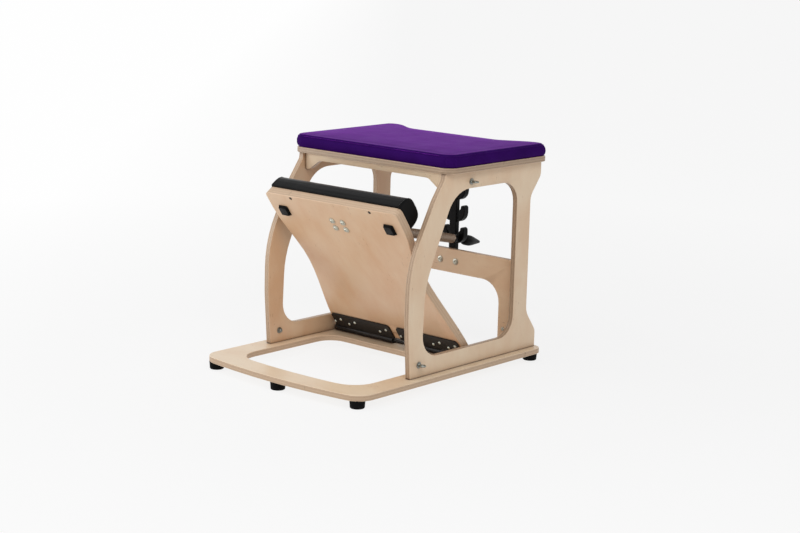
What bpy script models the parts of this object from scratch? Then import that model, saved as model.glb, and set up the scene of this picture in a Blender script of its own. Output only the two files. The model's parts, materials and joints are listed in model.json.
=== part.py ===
"""A pilates chair: a birch ply base and side frames, a padded seat, and a hinged pedal pulled back by
a spring.

Units are metres and +Z is up. The pedal is at the front, towards -Y, and the spring tree is at the back.
Sizes below are measured from the front edge of the base (y = 0) and from the underside of the base (z = 0).
The last step moves the whole chair so that the middle of its footprint, under the feet, is the origin.
"""
import bpy
import bmesh
from math import acos, atan2, ceil, cos, degrees, hypot, pi, radians, sin, tan
from mathutils import Matrix, Vector

# Sheet and clearances
PLY = 0.0155
GAP = 0.0003
ROUND_OVER = 0.003

# Base
BASE_WIDTH = 0.600
BASE_LENGTH = 0.794
BASE_BOW = 0.025
BASE_FRONT_CORNER = 0.055
BASE_REAR_CORNER = 0.032
OPENING_FRONT = 0.073
OPENING_REAR = 0.458
OPENING_HALF = 0.2256
OPENING_FRONT_CORNER = 0.072
OPENING_REAR_CORNER = 0.052
NOTCH_FRONT = 0.580
NOTCH_HALF = 0.186
NOTCH_CORNER = 0.050
NOTCH_MOUTH = 0.014

# Feet
FOOT_HEIGHT = 0.0225
FOOT_RADIUS = 0.021
FOOT_PLACES = (
    ("front_left_foot", -0.267, 0.047),
    ("front_middle_foot", 0.0, 0.0225),
    ("front_right_foot", 0.267, 0.047),
    ("rear_left_foot", -0.271, 0.768),
    ("rear_right_foot", 0.271, 0.768),
)

# Side frames
FRAME_OUTER = 0.2727
FRAME_TOP = 0.5550
FRAME_INNER = FRAME_OUTER - PLY
EYE_PLACES = ((0.278, 0.050), (0.475, 0.525))

# Seat
BOARD_HALF = 0.295
BOARD_FRONT = 0.3575
BOARD_REAR = 0.788
BOARD_CORNER = 0.038
REAR_CORNER = 0.025
SCOOP_DEPTH = 0.058
SCOOP_INNER = 0.153
SCOOP_OUTER = 0.257
CUSHION_HEIGHT = 0.0357
CUSHION_CROWN = 0.0020
CUSHION_LEAN = 0.0125
LEAN_START = 0.700

# Rear arch and seat rails
ARCH_FRONT = 0.7132
ARCH_TOP = 0.2702
ARCH_UNDERSIDE = 0.2003
ARCH_HALF_OPENING = 0.193
ARCH_CORNER = 0.062
RAIL_MIDDLE = 0.536
RAIL_END = 0.508
RAIL_FRONTS = {"front_seat_rail": 0.376, "rear_seat_rail": 0.762}

# Pedal, in its own axes: x across, y out of its back face, z up the panel from the hinge pin
HINGE_Y = 0.5073
HINGE_Z = 0.0245
PEDAL_LEAN = radians(35.2)
PEDAL_TRAVEL = radians(55.0)
PEDAL_FRONT = 0.00205
PEDAL_THICKNESS = 0.025
PEDAL_BACK = PEDAL_FRONT + PEDAL_THICKNESS
PEDAL_FOOT = 0.010
PEDAL_TOP = 0.5318
PEDAL_HALF_FOOT = 0.249
PEDAL_HALF_WAIST = 0.210
PEDAL_HALF_HEAD = 0.245
PEDAL_WAIST_Z = 0.290
PEDAL_HEAD_Z = 0.470
PEDAL_CORNER = 0.014

# Pad on the pedal's back face
PAD_HALF = 0.240
PAD_WIDTH = 0.083
PAD_HEIGHT = 0.053
PAD_OVERHANG = 0.0045
PAD_SQUARENESS = 3.5
PAD_RINGS = ((-1.0, 0.955), (-0.99, 0.99), (-0.97, 1.0), (0.0, 1.0), (0.97, 1.0), (0.99, 0.99), (1.0, 0.955))

# Hinge
HINGE_SHEET = 0.0035
KNUCKLE_RADIUS = 0.0083
PIN_RADIUS = 0.003
HINGE_PLATE_TOP = 0.0606
HINGE_PLATE_ENDS = (0.013, 0.241)
KNUCKLE_LENGTH = 0.0385
HINGE_HALF = 0.250

# Spring bracket on the pedal
BRACKET_PIN_Y = 0.0540
BRACKET_PIN_Z = 0.4020
BRACKET_PIN_RADIUS = 0.0025
BRACKET_SHEET = 0.004
EAR_SHEET = 0.003
EAR_SPACE = 0.008
EAR_MARGIN = 0.008
BRACKET_TOP = 0.4515
BOLT_X = 0.0195
BRACKET_BOLT_Z = 0.438
PAD_BOLT_Z = 0.464
PAD_SCREW_X = 0.147
PAD_SCREW_Z = 0.523

# Eye on the spring: how far its slot and its outside reach from the pin, back, forward and sideways
EYE_SHEET = 0.004
EYE_SLOT = (0.0060, 0.0200, 0.0078)
EYE_WALL = 0.0035

# Spring tree behind the arch
TREE_LEVELS = 4
TREE_PITCH = 0.0646
TREE_LOWEST_TIP = 0.3345
TREE_TRUNK = 0.0122
TREE_ARM_OUTER = 0.0412
TREE_TIP_INNER = 0.0265
TREE_SLOT_OUTER = 0.0215
TREE_SLOT_DEPTH = 0.0455
TREE_ARM_DROP = 0.0495
TREE_ARM_ROUND = 0.0285
HOOK_X = 0.0168
HOOK_Y = 0.741
HOOK_Z = 0.2967
TREE_BOLTS = [(-0.029, 0.235), (0.029, 0.235)]

# Spring, from the hook on the tree towards the pedal
COIL_TURNS = 60
COIL_OUTER = 0.0140
COIL_WIRE = 0.0026
COIL_POINTS = 8
REAR_PLUG = (0.016, 0.030)
FRONT_PLUG = 0.034
KNOB_TIP = 0.0965
NECK_RADIUS = 0.0035


def clear_scene():
    """Takes every object out of the open scene."""
    for thing in list(bpy.data.objects):
        bpy.data.objects.remove(thing, do_unlink=True)


def finish(name, colour, roughness, metallic=0.0):
    """A material with its colour, roughness and metallic value."""
    mat = bpy.data.materials.new(name)
    mat.use_nodes = True
    shader = mat.node_tree.nodes["Principled BSDF"]
    shader.inputs["Base Color"].default_value = (*colour, 1.0)
    shader.inputs["Roughness"].default_value = roughness
    shader.inputs["Metallic"].default_value = metallic
    return mat


def empty(name, location, turn=0.0, parent=None):
    """An empty that carries pieces; turn is a rotation about X."""
    holder = bpy.data.objects.new(name, None)
    holder.location = location
    holder.rotation_euler = (turn, 0.0, 0.0)
    holder.parent = parent
    bpy.context.collection.objects.link(holder)
    return holder


def finished_mesh(name, bm, angle=40):
    """A mesh made from a bmesh, with its faces turned out and its round stretches smooth."""
    bmesh.ops.recalc_face_normals(bm, faces=bm.faces)
    mesh = bpy.data.meshes.new(name)
    bm.to_mesh(mesh)
    bm.free()
    mesh.shade_smooth()
    mesh.set_sharp_from_angle(angle=radians(angle))
    return mesh


def add_piece(name, bm, material, parent, angle=40):
    """Turns a bmesh into a named object that hangs on an empty."""
    mesh = finished_mesh(name, bm, angle)
    mesh.materials.append(material)
    piece = bpy.data.objects.new(name, mesh)
    piece.parent = parent
    bpy.context.collection.objects.link(piece)
    return piece


def round_over(piece, width=ROUND_OVER, segments=1):
    """Rounds the edges where a face meets the sheet's side."""
    bevel = piece.modifiers.new("round_over", "BEVEL")
    bevel.width = width
    bevel.segments = segments
    bevel.limit_method = "ANGLE"
    bevel.angle_limit = radians(50)


def boolean(piece, other, operation):
    """Joins a helper to a piece or cuts it away, and keeps the helper out of the model."""
    other.hide_render = True
    other.display_type = "WIRE"
    step = piece.modifiers.new(other.name, "BOOLEAN")
    step.operation = operation
    step.solver = "EXACT"
    step.object = other


def fillet(corners, tolerance=0.0004):
    """Rounds the corners (x, y, radius) of a closed outline into arcs."""
    points = []
    count = len(corners)
    for i, (x, y, radius) in enumerate(corners):
        here = Vector((x, y))
        if radius == 0.0:
            points.append(here)
            continue
        back = (Vector(corners[i - 1][:2]) - here).normalized()
        ahead = (Vector(corners[(i + 1) % count][:2]) - here).normalized()
        half = back.angle(ahead) / 2
        centre = here + (back + ahead).normalized() * radius / sin(half)
        start = here + back * radius / tan(half) - centre
        sweep = pi - 2 * half
        if back.cross(ahead) > 0:
            sweep = -sweep
        step = min(radians(30), 2 * acos(1 - tolerance / radius)) if radius > tolerance else radians(30)
        steps = max(2, ceil(abs(sweep) / step))
        for k in range(steps + 1):
            angle = sweep * k / steps
            points.append(centre + Vector((
                start.x * cos(angle) - start.y * sin(angle),
                start.x * sin(angle) + start.y * cos(angle),
            )))
    return [tuple(p) for p in points]


def ring_points(radius, height, sides):
    """Points round a circle at a height on the z axis."""
    turns = [2 * pi * k / sides for k in range(sides)]
    return [Vector((radius * cos(turn), radius * sin(turn), height)) for turn in turns]


def ease(t):
    """A smooth step from 0 to 1."""
    t = min(1.0, max(0.0, t))
    return t * t * (3 - 2 * t)


# Frames of sheet pieces: local x and y lie in the sheet and local z is its thickness
LYING = Matrix.Identity(4)
SIDEWAYS = Matrix(((0, 0, 1, 0), (1, 0, 0, 0), (0, 1, 0, 0), (0, 0, 0, 1)))
UPRIGHT = Matrix(((1, 0, 0, 0), (0, 0, -1, 0), (0, 1, 0, 0), (0, 0, 0, 1)))


def sheet_mesh(outline, start, thickness, turn, holes=()):
    """A flat sheet with an outline and holes, from start along its thickness, turned by a frame above."""
    bm = bmesh.new()
    edges = []
    for loop in (outline, *holes):
        verts = [bm.verts.new((x, y, start)) for x, y in loop]
        edges += [bm.edges.new((verts[i - 1], verts[i])) for i in range(len(verts))]
    bmesh.ops.triangle_fill(bm, edges=edges, use_beauty=True)
    rim = bmesh.ops.extrude_face_region(bm, geom=bm.faces[:])
    moved = [v for v in rim["geom"] if isinstance(v, bmesh.types.BMVert)]
    bmesh.ops.translate(bm, verts=moved, vec=(0, 0, thickness))
    bm.transform(turn)
    return bm


def add_turned(bm, profile, place, sides=12):
    """Adds a round body to a bmesh: profile is (radius, height) from the bottom of its axis to the top."""
    rings = []
    for radius, height in profile:
        if radius == 0.0:
            rings.append([bm.verts.new(place @ Vector((0, 0, height)))])
            continue
        rings.append([bm.verts.new(place @ point) for point in ring_points(radius, height, sides)])
    for low, high in zip(rings, rings[1:]):
        for k in range(sides):
            n = k + 1
            quad = [low[k % len(low)], low[n % len(low)], high[n % len(high)], high[k % len(high)]]
            bm.faces.new(list(dict.fromkeys(quad)))
    for ring, order in ((rings[0], -1), (rings[-1], 1)):
        if len(ring) > 1:
            bm.faces.new(ring[::order])


def add_tube_ring(bm, outer, inner, low, high, place, sides=12):
    """Adds a washer or a sleeve to a bmesh."""
    loops = []
    for radius, height in ((outer, low), (outer, high), (inner, high), (inner, low)):
        loops.append([bm.verts.new(place @ point) for point in ring_points(radius, height, sides)])
    for i in range(4):
        low_loop, high_loop = loops[i], loops[(i + 1) % 4]
        for k in range(sides):
            n = (k + 1) % sides
            bm.faces.new((low_loop[k], low_loop[n], high_loop[n], high_loop[k]))


def facing(direction, location):
    """A frame whose z axis points along a direction."""
    turn = Vector((0, 0, 1)).rotation_difference(Vector(direction)).to_matrix().to_4x4()
    return Matrix.Translation(location) @ turn


def turned_mesh(name, profile, sides):
    """A mesh for a round piece whose axis is its own z."""
    bm = bmesh.new()
    add_turned(bm, profile, Matrix.Identity(4), sides)
    return finished_mesh(name, bm)


def nut_mesh(name, outer, inner, thickness, sides=6):
    """A mesh for a nut that sits on its own xy plane."""
    bm = bmesh.new()
    add_tube_ring(bm, outer, inner, 0.0, thickness, Matrix.Identity(4), sides)
    return finished_mesh(name, bm)


def place_copies(names, mesh, places, direction, material, parent):
    """Like pieces that share a mesh, each an object of its own with its z axis along the direction."""
    mesh.materials.append(material)
    pieces = []
    for name, place in zip(names, places):
        piece = bpy.data.objects.new(name, mesh)
        piece.parent = parent
        piece.matrix_basis = facing(direction, place)
        bpy.context.collection.objects.link(piece)
        pieces.append(piece)
    return pieces


def numbered(stem, count):
    """Names such as bolt_1, bolt_2 for like pieces."""
    return ["%s_%d" % (stem, k + 1) for k in range(count)]


def drill(piece, name, radius, length, places, direction, sides=10):
    """Cuts round holes; each starts at its place and runs along the direction."""
    bm = bmesh.new()
    for place in places:
        add_turned(bm, [(radius, 0.0), (radius, length)], facing(direction, place), sides)
    boolean(piece, add_piece(name, bm, piece.data.materials[0], piece.parent), "DIFFERENCE")


# Outlines of the ply pieces

def bowed_front(x, setback=0.0):
    """The base's front edge, and the front edge of its opening, bulge forward in the middle."""
    return setback + BASE_BOW * (x / (BASE_WIDTH / 2)) ** 2


def base_outline():
    """The base plate: a bowed front, and two arms round an open notch behind the hinge."""
    half = BASE_WIDTH / 2
    front = [(x, bowed_front(x), 0.0) for x in (-0.225, -0.15, -0.075, 0.0, 0.075, 0.15, 0.225)]
    corners = [(-half, bowed_front(half), BASE_FRONT_CORNER), *front]
    corners += [(half, bowed_front(half), BASE_FRONT_CORNER)]
    for side in (1, -1):
        arm = [(side * half, BASE_LENGTH, BASE_REAR_CORNER), (side * NOTCH_HALF, BASE_LENGTH, NOTCH_MOUTH),
               (side * NOTCH_HALF, NOTCH_FRONT, NOTCH_CORNER)]
        corners += arm[::side]
    return fillet(corners)


def base_opening():
    """The large opening in front of the hinge."""
    half = OPENING_HALF
    front = [(x, bowed_front(x, OPENING_FRONT), 0.0) for x in (-0.135, -0.07, 0.0, 0.07, 0.135)]
    corners = [(-half, bowed_front(half, OPENING_FRONT), OPENING_FRONT_CORNER), *front]
    corners += [(half, bowed_front(half, OPENING_FRONT), OPENING_FRONT_CORNER)]
    corners += [(half, OPENING_REAR, OPENING_REAR_CORNER), (-half, OPENING_REAR, OPENING_REAR_CORNER)]
    return fillet(corners)


def frame_outline():
    """The side frame in y and z: a swept front leg, a waisted rear leg, and feet flat on the base."""
    foot = PLY + GAP
    return fillet([
        (0.2430, foot, 0.003),
        (0.7850, foot, 0.003),
        (0.7850, 0.0640, 0.025),
        (0.7405, 0.1230, 0.050),
        (0.7405, 0.4570, 0.040),
        (0.7845, 0.5130, 0.025),
        (0.7845, FRAME_TOP - GAP, 0.003),
        (0.3660, FRAME_TOP - GAP, 0.003),
        (0.3640, 0.5380, 0.015),
        (0.3270, 0.4870, 0.120),
        (0.2335, 0.3170, 0.310),
        (0.2325, 0.1650, 0.400),
    ])


def frame_opening():
    return fillet([
        (0.2890, 0.0640, 0.062),
        (0.6800, 0.0640, 0.058),
        (0.6800, 0.5067, 0.062),
        (0.4087, 0.5067, 0.095),
        (0.2970, 0.2620, 0.260),
    ])


def seat_rear(x, rear):
    """The rear edge of the seat is scooped forward between two ears."""
    return rear - SCOOP_DEPTH * (1 - ease((abs(x) - SCOOP_INNER) / (SCOOP_OUTER - SCOOP_INNER)))


def seat_outline(inset=0.0, steps=8):
    half = BOARD_HALF - inset
    front, rear = BOARD_FRONT + inset, BOARD_REAR - inset
    run = [SCOOP_OUTER - (SCOOP_OUTER - SCOOP_INNER) * k / steps for k in range(steps + 1)]
    scoop = [(x, seat_rear(x, rear), 0.0) for x in run + [-x for x in reversed(run)]]
    corner, rear_corner = BOARD_CORNER - inset / 2, REAR_CORNER - inset / 2
    return fillet([
        (-half, front, corner),
        (half, front, corner),
        (half, rear, rear_corner),
        *scoop,
        (-half, rear, rear_corner),
    ])


def arch_outline():
    """The rear arch in x and z: a crossbar on two legs, with rounded inner corners."""
    side = FRAME_INNER - GAP
    foot = PLY + GAP
    return fillet([
        (side, foot, 0.0),
        (side, ARCH_TOP, 0.004),
        (-side, ARCH_TOP, 0.004),
        (-side, foot, 0.0),
        (-ARCH_HALF_OPENING, foot, 0.0),
        (-ARCH_HALF_OPENING, ARCH_UNDERSIDE, ARCH_CORNER),
        (ARCH_HALF_OPENING, ARCH_UNDERSIDE, ARCH_CORNER),
        (ARCH_HALF_OPENING, foot, 0.0),
    ])


def rail_outline():
    """A seat rail in x and z: shallow in the middle, with a gusset down each end."""
    side = FRAME_INNER - GAP
    top = FRAME_TOP - GAP
    return fillet([
        (-side, RAIL_END, 0.0),
        (-0.243, RAIL_END, 0.004),
        (-0.203, RAIL_MIDDLE, 0.025),
        (0.203, RAIL_MIDDLE, 0.025),
        (0.243, RAIL_END, 0.004),
        (side, RAIL_END, 0.0),
        (side, top, 0.0),
        (-side, top, 0.0),
    ])


def pedal_half_width(z):
    """Wide at the hinge and at the head, with a waist between."""
    if z < PEDAL_WAIST_Z:
        share = ease((PEDAL_WAIST_Z - z) / (PEDAL_WAIST_Z - PEDAL_FOOT))
        return PEDAL_HALF_WAIST + (PEDAL_HALF_FOOT - PEDAL_HALF_WAIST) * share
    share = ease((z - PEDAL_WAIST_Z) / (PEDAL_HEAD_Z - PEDAL_WAIST_Z))
    return PEDAL_HALF_WAIST + (PEDAL_HALF_HEAD - PEDAL_HALF_WAIST) * share


def pedal_outline():
    steps = 12
    heights = [PEDAL_FOOT + (PEDAL_HEAD_Z - PEDAL_FOOT) * k / steps for k in range(steps + 1)]
    right = [(pedal_half_width(z), z, 0.0) for z in heights]
    top = [(PEDAL_HALF_HEAD, PEDAL_TOP, PEDAL_CORNER), (-PEDAL_HALF_HEAD, PEDAL_TOP, PEDAL_CORNER)]
    return fillet(right + top + [(-x, z, r) for x, z, r in reversed(right)])


# Pieces that stay still

def make_base(mats, root):
    """The base plate on its five rubber feet."""
    bm = sheet_mesh(base_outline(), 0.0, PLY, LYING, [base_opening()])
    round_over(add_piece("base_plate", bm, mats["ply"], root))
    low = -FOOT_HEIGHT
    profile = [(0.0085, low + 0.009), (0.0085, low), (0.0178, low), (0.0195, low + 0.002),
               (FOOT_RADIUS, -GAP), (0.0026, -GAP), (0.0026, low + 0.009)]
    bm = bmesh.new()
    add_closed_turned(bm, profile, Matrix.Identity(4), 16)
    names = [name for name, x, y in FOOT_PLACES]
    places = [(x, y, 0.0) for name, x, y in FOOT_PLACES]
    place_copies(names, finished_mesh("foot", bm), places, (0, 0, 1), mats["rubber"], root)


def add_closed_turned(bm, profile, place, sides):
    """Adds a round body whose profile is a closed loop away from the axis."""
    loops = [[
        bm.verts.new(place @ Vector((r * cos(2 * pi * k / sides), r * sin(2 * pi * k / sides), h)))
        for k in range(sides)
    ] for r, h in profile]
    for i, loop in enumerate(loops):
        after = loops[(i + 1) % len(loops)]
        for k in range(sides):
            n = (k + 1) % sides
            bm.faces.new((loop[k], loop[n], after[n], after[k]))


def make_side_frames(mats, root):
    """The two side frames with the eyebolts on their outer faces."""
    for side, name in ((-1, "left"), (1, "right")):
        start = FRAME_INNER if side > 0 else -FRAME_OUTER
        bm = sheet_mesh(frame_outline(), start, PLY, SIDEWAYS, [frame_opening()])
        frame = add_piece(name + "_side_frame", bm, mats["ply"], root)
        round_over(frame)
        holes = [(side * (FRAME_INNER - 0.005), y, z) for y, z in EYE_PLACES]
        drill(frame, name + "_frame_holes", 0.0034, PLY + 0.010, holes, (side, 0, 0), 8)
        for level, (y, z) in zip(("lower", "upper"), EYE_PLACES):
            bolt_name = "_".join((name, level, "eyebolt"))
            make_eyebolt(bolt_name, (side, 0, 0), (side * FRAME_OUTER, y, z), mats, root)


def make_eyebolt(name, direction, place, mats, root):
    """A steel eyebolt: a ring on a shank that runs through the frame, with the washer under the ring."""
    shank = [(0.0, -PLY - 0.009), (0.003, -PLY - 0.008), (0.003, GAP), (0.0085, GAP), (0.0085, 0.0018),
             (0.0045, 0.0018), (0.0035, 0.0085), (0.0, 0.0088)]
    eyebolt = place_copies([name], turned_mesh(name, shank, 10), [place], direction, mats["zinc"], root)[0]
    bm = bmesh.new()
    add_torus(bm, 0.0068, 0.0026, Matrix.Translation((0, 0, 0.0140)) @ Matrix.Rotation(pi / 2, 4, "X"))
    ring = add_piece(name + "_ring", bm, mats["zinc"], root)
    ring.matrix_basis = facing(direction, place)
    boolean(eyebolt, ring, "UNION")


def add_torus(bm, ring_radius, wire_radius, place, around=12, sides=6):
    """Adds a closed ring of round wire in the xy plane of a frame."""
    loops = []
    for i in range(around):
        a = 2 * pi * i / around
        loops.append([
            bm.verts.new(place @ Vector((
                (ring_radius + wire_radius * cos(2 * pi * k / sides)) * cos(a),
                (ring_radius + wire_radius * cos(2 * pi * k / sides)) * sin(a),
                wire_radius * sin(2 * pi * k / sides),
            ))) for k in range(sides)
        ])
    for i in range(around):
        for k in range(sides):
            n = (k + 1) % sides
            bm.faces.new((loops[i][k], loops[i][n], loops[(i + 1) % around][n], loops[(i + 1) % around][k]))


def make_rails_and_arch(mats, root):
    """The two seat rails and the rear arch, which tie the side frames together."""
    for name, front in RAIL_FRONTS.items():
        bm = sheet_mesh(rail_outline(), -front - PLY, PLY, UPRIGHT)
        round_over(add_piece(name, bm, mats["ply"], root), 0.002, 1)
    bm = sheet_mesh(arch_outline(), -ARCH_FRONT - PLY, PLY, UPRIGHT)
    arch = add_piece("rear_arch", bm, mats["ply"], root)
    round_over(arch, 0.002, 1)
    holes = [(x, ARCH_FRONT - 0.005, z) for x, z in TREE_BOLTS]
    drill(arch, "arch_holes", 0.0034, PLY + 0.010, holes, (0, 1, 0), 8)
    profile = [(0.0, 0.0), (0.0055, 0.0), (0.0055, 0.0010), (0.0040, 0.0018), (0.0, 0.0020)]
    cap = turned_mesh("arch_cap", profile, 12)
    places = [(x, ARCH_FRONT - GAP, 0.066) for x in (-0.212, 0.212)]
    place_copies(["left_arch_cap", "right_arch_cap"], cap, places, (0, -1, 0), mats["zinc"], root)


def make_seat(mats, root):
    """The ply seat board and the upholstered cushion on it."""
    bm = sheet_mesh(seat_outline(), FRAME_TOP, PLY, LYING)
    board = add_piece("seat_board", bm, mats["ply"], root)
    round_over(board)
    make_cushion(mats, root)


def make_cushion(mats, root):
    """A cushion with a tucked lower edge, drawn-in sides and a low crown, whose rear edge leans forward."""
    bottom = FRAME_TOP + PLY + GAP
    edge = [(0.0050, 0.0000, 0.0), (0.0010, 0.0040, 0.0), (-0.0015, 0.0130, 0.1), (-0.0012, 0.0232, 0.3),
            (0.0008, 0.0292, 0.6), (0.0027, 0.0337, 0.85), (0.0065, CUSHION_HEIGHT, 1.0)]
    middle = Vector((0.0, (BOARD_FRONT + BOARD_REAR) / 2))
    bm = bmesh.new()
    rings = []
    for inset, height, lean in edge:
        ring = seat_ring(inset, lean * CUSHION_LEAN)
        rings.append([bm.verts.new((x, y, bottom + height)) for x, y in ring])
    rim = seat_ring(edge[-1][0], CUSHION_LEAN)
    half = Vector((max(x for x, y in rim), max(y for x, y in rim) - middle.y))
    for share in (0.82, 0.55, 0.25):
        ring = []
        for p in rim:
            off = (Vector(p) - middle) * share
            rise = (1 - (off.x / half.x) ** 4) * (1 - (off.y / half.y) ** 4)
            ring.append(bm.verts.new((*(middle + off), bottom + CUSHION_HEIGHT + CUSHION_CROWN * rise)))
        rings.append(ring)
    count = len(rim)
    for low, high in zip(rings, rings[1:]):
        for k in range(count):
            n = (k + 1) % count
            bm.faces.new((low[k], low[n], high[n], high[k]))
    bm.faces.new(rings[0][::-1])
    bm.faces.new(rings[-1])
    add_piece("seat_cushion", bm, mats["seat_vinyl"], root, 60)


def seat_ring(inset, lean):
    """The seat outline drawn in by the same amount all round, and further along its rear edge.

    Every ring has the same number of points.
    """
    outline = [Vector(p) for p in seat_outline(steps=5)]
    count = len(outline)
    ring = []
    for i, p in enumerate(outline):
        along = (outline[(i + 1) % count] - outline[i - 1]).normalized()
        drawn = p + Vector((-along.y, along.x)) * inset
        rear = ease((drawn.y - LEAN_START) / (BOARD_REAR - LEAN_START))
        ring.append((drawn.x, drawn.y - lean * rear))
    return ring


def make_tree(mats, root):
    """The spring tree: a trunk with pairs of upturned arms, and a flange bolted behind the arch."""
    front = ARCH_FRONT + PLY + GAP
    top = TREE_LOWEST_TIP + TREE_PITCH * (TREE_LEVELS - 1) + 0.012
    trunk = fillet([(TREE_TRUNK, 0.203, 0.0), (TREE_TRUNK, top, 0.008), (-TREE_TRUNK, top, 0.008),
                    (-TREE_TRUNK, 0.203, 0.0)])
    tree = add_piece("spring_tree", sheet_mesh(trunk, -front - 0.016, 0.016, UPRIGHT), mats["nylon"], root)
    flange = fillet([(0.042, 0.207, 0.008), (0.042, 0.263, 0.008), (-0.042, 0.263, 0.008),
                     (-0.042, 0.207, 0.008)])
    helper = add_piece("tree_flange", sheet_mesh(flange, -front - 0.012, 0.012, UPRIGHT), mats["nylon"], root)
    boolean(tree, helper, "UNION")
    for level in range(TREE_LEVELS):
        tip = TREE_LOWEST_TIP + TREE_PITCH * level
        arm = sheet_mesh(arm_outline(tip), -HOOK_Y - 0.010, 0.020, UPRIGHT)
        helper = add_piece("tree_arms_%d" % (level + 1), arm, mats["nylon"], root)
        boolean(tree, helper, "UNION")
    holes = [(x, front - 0.005, z) for x, z in TREE_BOLTS]
    drill(tree, "tree_holes", 0.0034, 0.022, holes, (0, 1, 0), 8)
    reach = PLY + GAP + 0.012 + 0.009
    bolt = turned_mesh("tree_bolt", bolt_profile(reach), 10)
    places = [(x, ARCH_FRONT, z) for x, z in TREE_BOLTS]
    place_copies(["left_tree_bolt", "right_tree_bolt"], bolt, places, (0, 1, 0), mats["zinc"], root)
    nut = nut_mesh("tree_nut", 0.0064, 0.0039, 0.005)
    places = [(x, front + 0.012 + GAP, z) for x, z in TREE_BOLTS]
    place_copies(["left_tree_nut", "right_tree_nut"], nut, places, (0, 1, 0), mats["zinc"], root)


def bolt_profile(reach):
    """A domed bolt with its washer; its axis starts at the face that it is tightened on."""
    return [(0.0, -0.0060), (0.0040, -0.0050), (0.0054, -0.0018), (0.0090, -0.0018), (0.0090, -GAP),
            (0.0030, -GAP), (0.0030, reach - 0.001), (0.0, reach)]


def arm_outline(tip):
    """One pair of arms in x and z, each curving out and up round a slot for the spring's neck."""
    low = tip - TREE_ARM_DROP
    slot = tip - TREE_SLOT_DEPTH
    inner = TREE_TRUNK - 0.0005
    right = [
        (0.006, low, 0.0),
        (TREE_ARM_OUTER, low, TREE_ARM_ROUND),
        (TREE_ARM_OUTER, tip, 0.0070),
        (TREE_TIP_INNER, tip, 0.0060),
        (TREE_TIP_INNER, tip - 0.009, 0.003),
        (TREE_SLOT_OUTER, tip - 0.015, 0.003),
        (TREE_SLOT_OUTER, slot, 0.0047),
        (inner, slot, 0.0047),
        (inner, tip - 0.030, 0.0),
    ]
    return fillet(right + [(-x, z, r) for x, z, r in reversed(right)])


# Hinge

def knuckle_cells(half, length):
    """Splits the hinge into equal knuckles; even ones belong to the base leaf and odd ones to the plates."""
    count = int(2 * half / length)
    count -= 1 - count % 2
    pitch = 2 * half / count
    return [(-half + pitch * k, -half + pitch * (k + 1)) for k in range(count)]


def add_knuckles(bm, cells):
    """Solid knuckles along x, each a little shorter than its cell."""
    for low, high in cells:
        add_turned(bm, [(KNUCKLE_RADIUS, 0.0), (KNUCKLE_RADIUS, high - low - 2 * GAP)],
                   facing((1, 0, 0), (low + GAP, 0.0, 0.0)), 10)


def leaf_with_knuckles(name, outline, thickness, start, frame, cells, material, parent):
    """A hinge leaf: a sheet joined to its knuckles, with one bore for the pin."""
    leaf = add_piece(name, sheet_mesh(outline, start, thickness, frame), material, parent)
    bm = bmesh.new()
    add_knuckles(bm, cells)
    boolean(leaf, add_piece(name + "_knuckles", bm, material, parent), "UNION")
    low, high = cells[0][0] - 0.01, cells[-1][1] + 0.01
    drill(leaf, name + "_bore", PIN_RADIUS + 2 * GAP, high - low, [(low, 0.0, 0.0)], (1, 0, 0), 10)
    return leaf


def comb(ends, cells, root_edge, tooth_edge, top_edge, corner):
    """The outline of a hinge sheet with a tooth at each of its knuckles."""
    low_x, high_x = ends
    points = []
    for low, high in cells:
        low, high = max(low + GAP, low_x), min(high - GAP, high_x)
        points += [(low, root_edge, 0.0), (low, tooth_edge, 0.0)]
        points += [(high, tooth_edge, 0.0), (high, root_edge, 0.0)]
    if points[0][0] == low_x:
        points = points[1:]
    else:
        points = [(low_x, root_edge, 0.0)] + points
    if points[-1][0] == high_x:
        points = points[:-1]
    else:
        points = points + [(high_x, root_edge, 0.0)]
    return fillet(points + [(high_x, top_edge, corner), (low_x, top_edge, corner)])


def make_hinge(mats, root, pedal):
    """Two plates on the pedal, one leaf on the base, and the pin through their knuckles."""
    cells = knuckle_cells(HINGE_HALF, KNUCKLE_LENGTH)
    axis = empty("base_hinge_axis", (0.0, HINGE_Y, HINGE_Z), 0.0, root)
    leaf_cells = cells[::2]
    plate_cells = cells[1::2]
    inner, outer = HINGE_PLATE_ENDS
    root_edge, tooth = KNUCKLE_RADIUS + 0.0022, 0.0035
    for side, name in ((-1, "left_hinge_plate"), (1, "right_hinge_plate")):
        ends = sorted((side * inner, side * outer))
        mine = [(low, high) for low, high in plate_cells if ends[0] < (low + high) / 2 < ends[1]]
        outline = comb(ends, mine, root_edge, tooth, HINGE_PLATE_TOP, 0.010)
        plate = leaf_with_knuckles(name, outline, HINGE_SHEET, -HINGE_SHEET / 2, UPRIGHT, mine,
                                   mats["black_steel"], pedal)
        holes = [(x, -0.01, z) for x, z in hinge_screw_places(side)]
        drill(plate, name + "_holes", 0.0027, 0.02, holes, (0, 1, 0), 6)
    sheet_bottom = PLY + GAP - HINGE_Z
    outline = comb((-HINGE_HALF + GAP, HINGE_HALF - GAP), leaf_cells, root_edge, 0.0015, 0.043, 0.006)
    leaf = leaf_with_knuckles("base_hinge_leaf", outline, 0.0030, sheet_bottom, LYING, leaf_cells,
                              mats["black_steel"], axis)
    holes = [(x, 0.030, sheet_bottom - 0.01) for x in (-0.22, -0.11, 0.0, 0.11, 0.22)]
    drill(leaf, "leaf_holes", 0.0027, 0.03, holes, (0, 0, 1), 6)
    end = HINGE_HALF + 0.004
    pin = [(0.0, -end), (0.0022, -end + 0.0005), (PIN_RADIUS, -end + 0.002), (PIN_RADIUS, end - 0.002),
           (0.0022, end - 0.0005), (0.0, end)]
    pin = turned_mesh("hinge_pin", pin, 14)
    place_copies(["hinge_pin"], pin, [(0, 0, 0)], (1, 0, 0), mats["black_steel"], axis)


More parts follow.
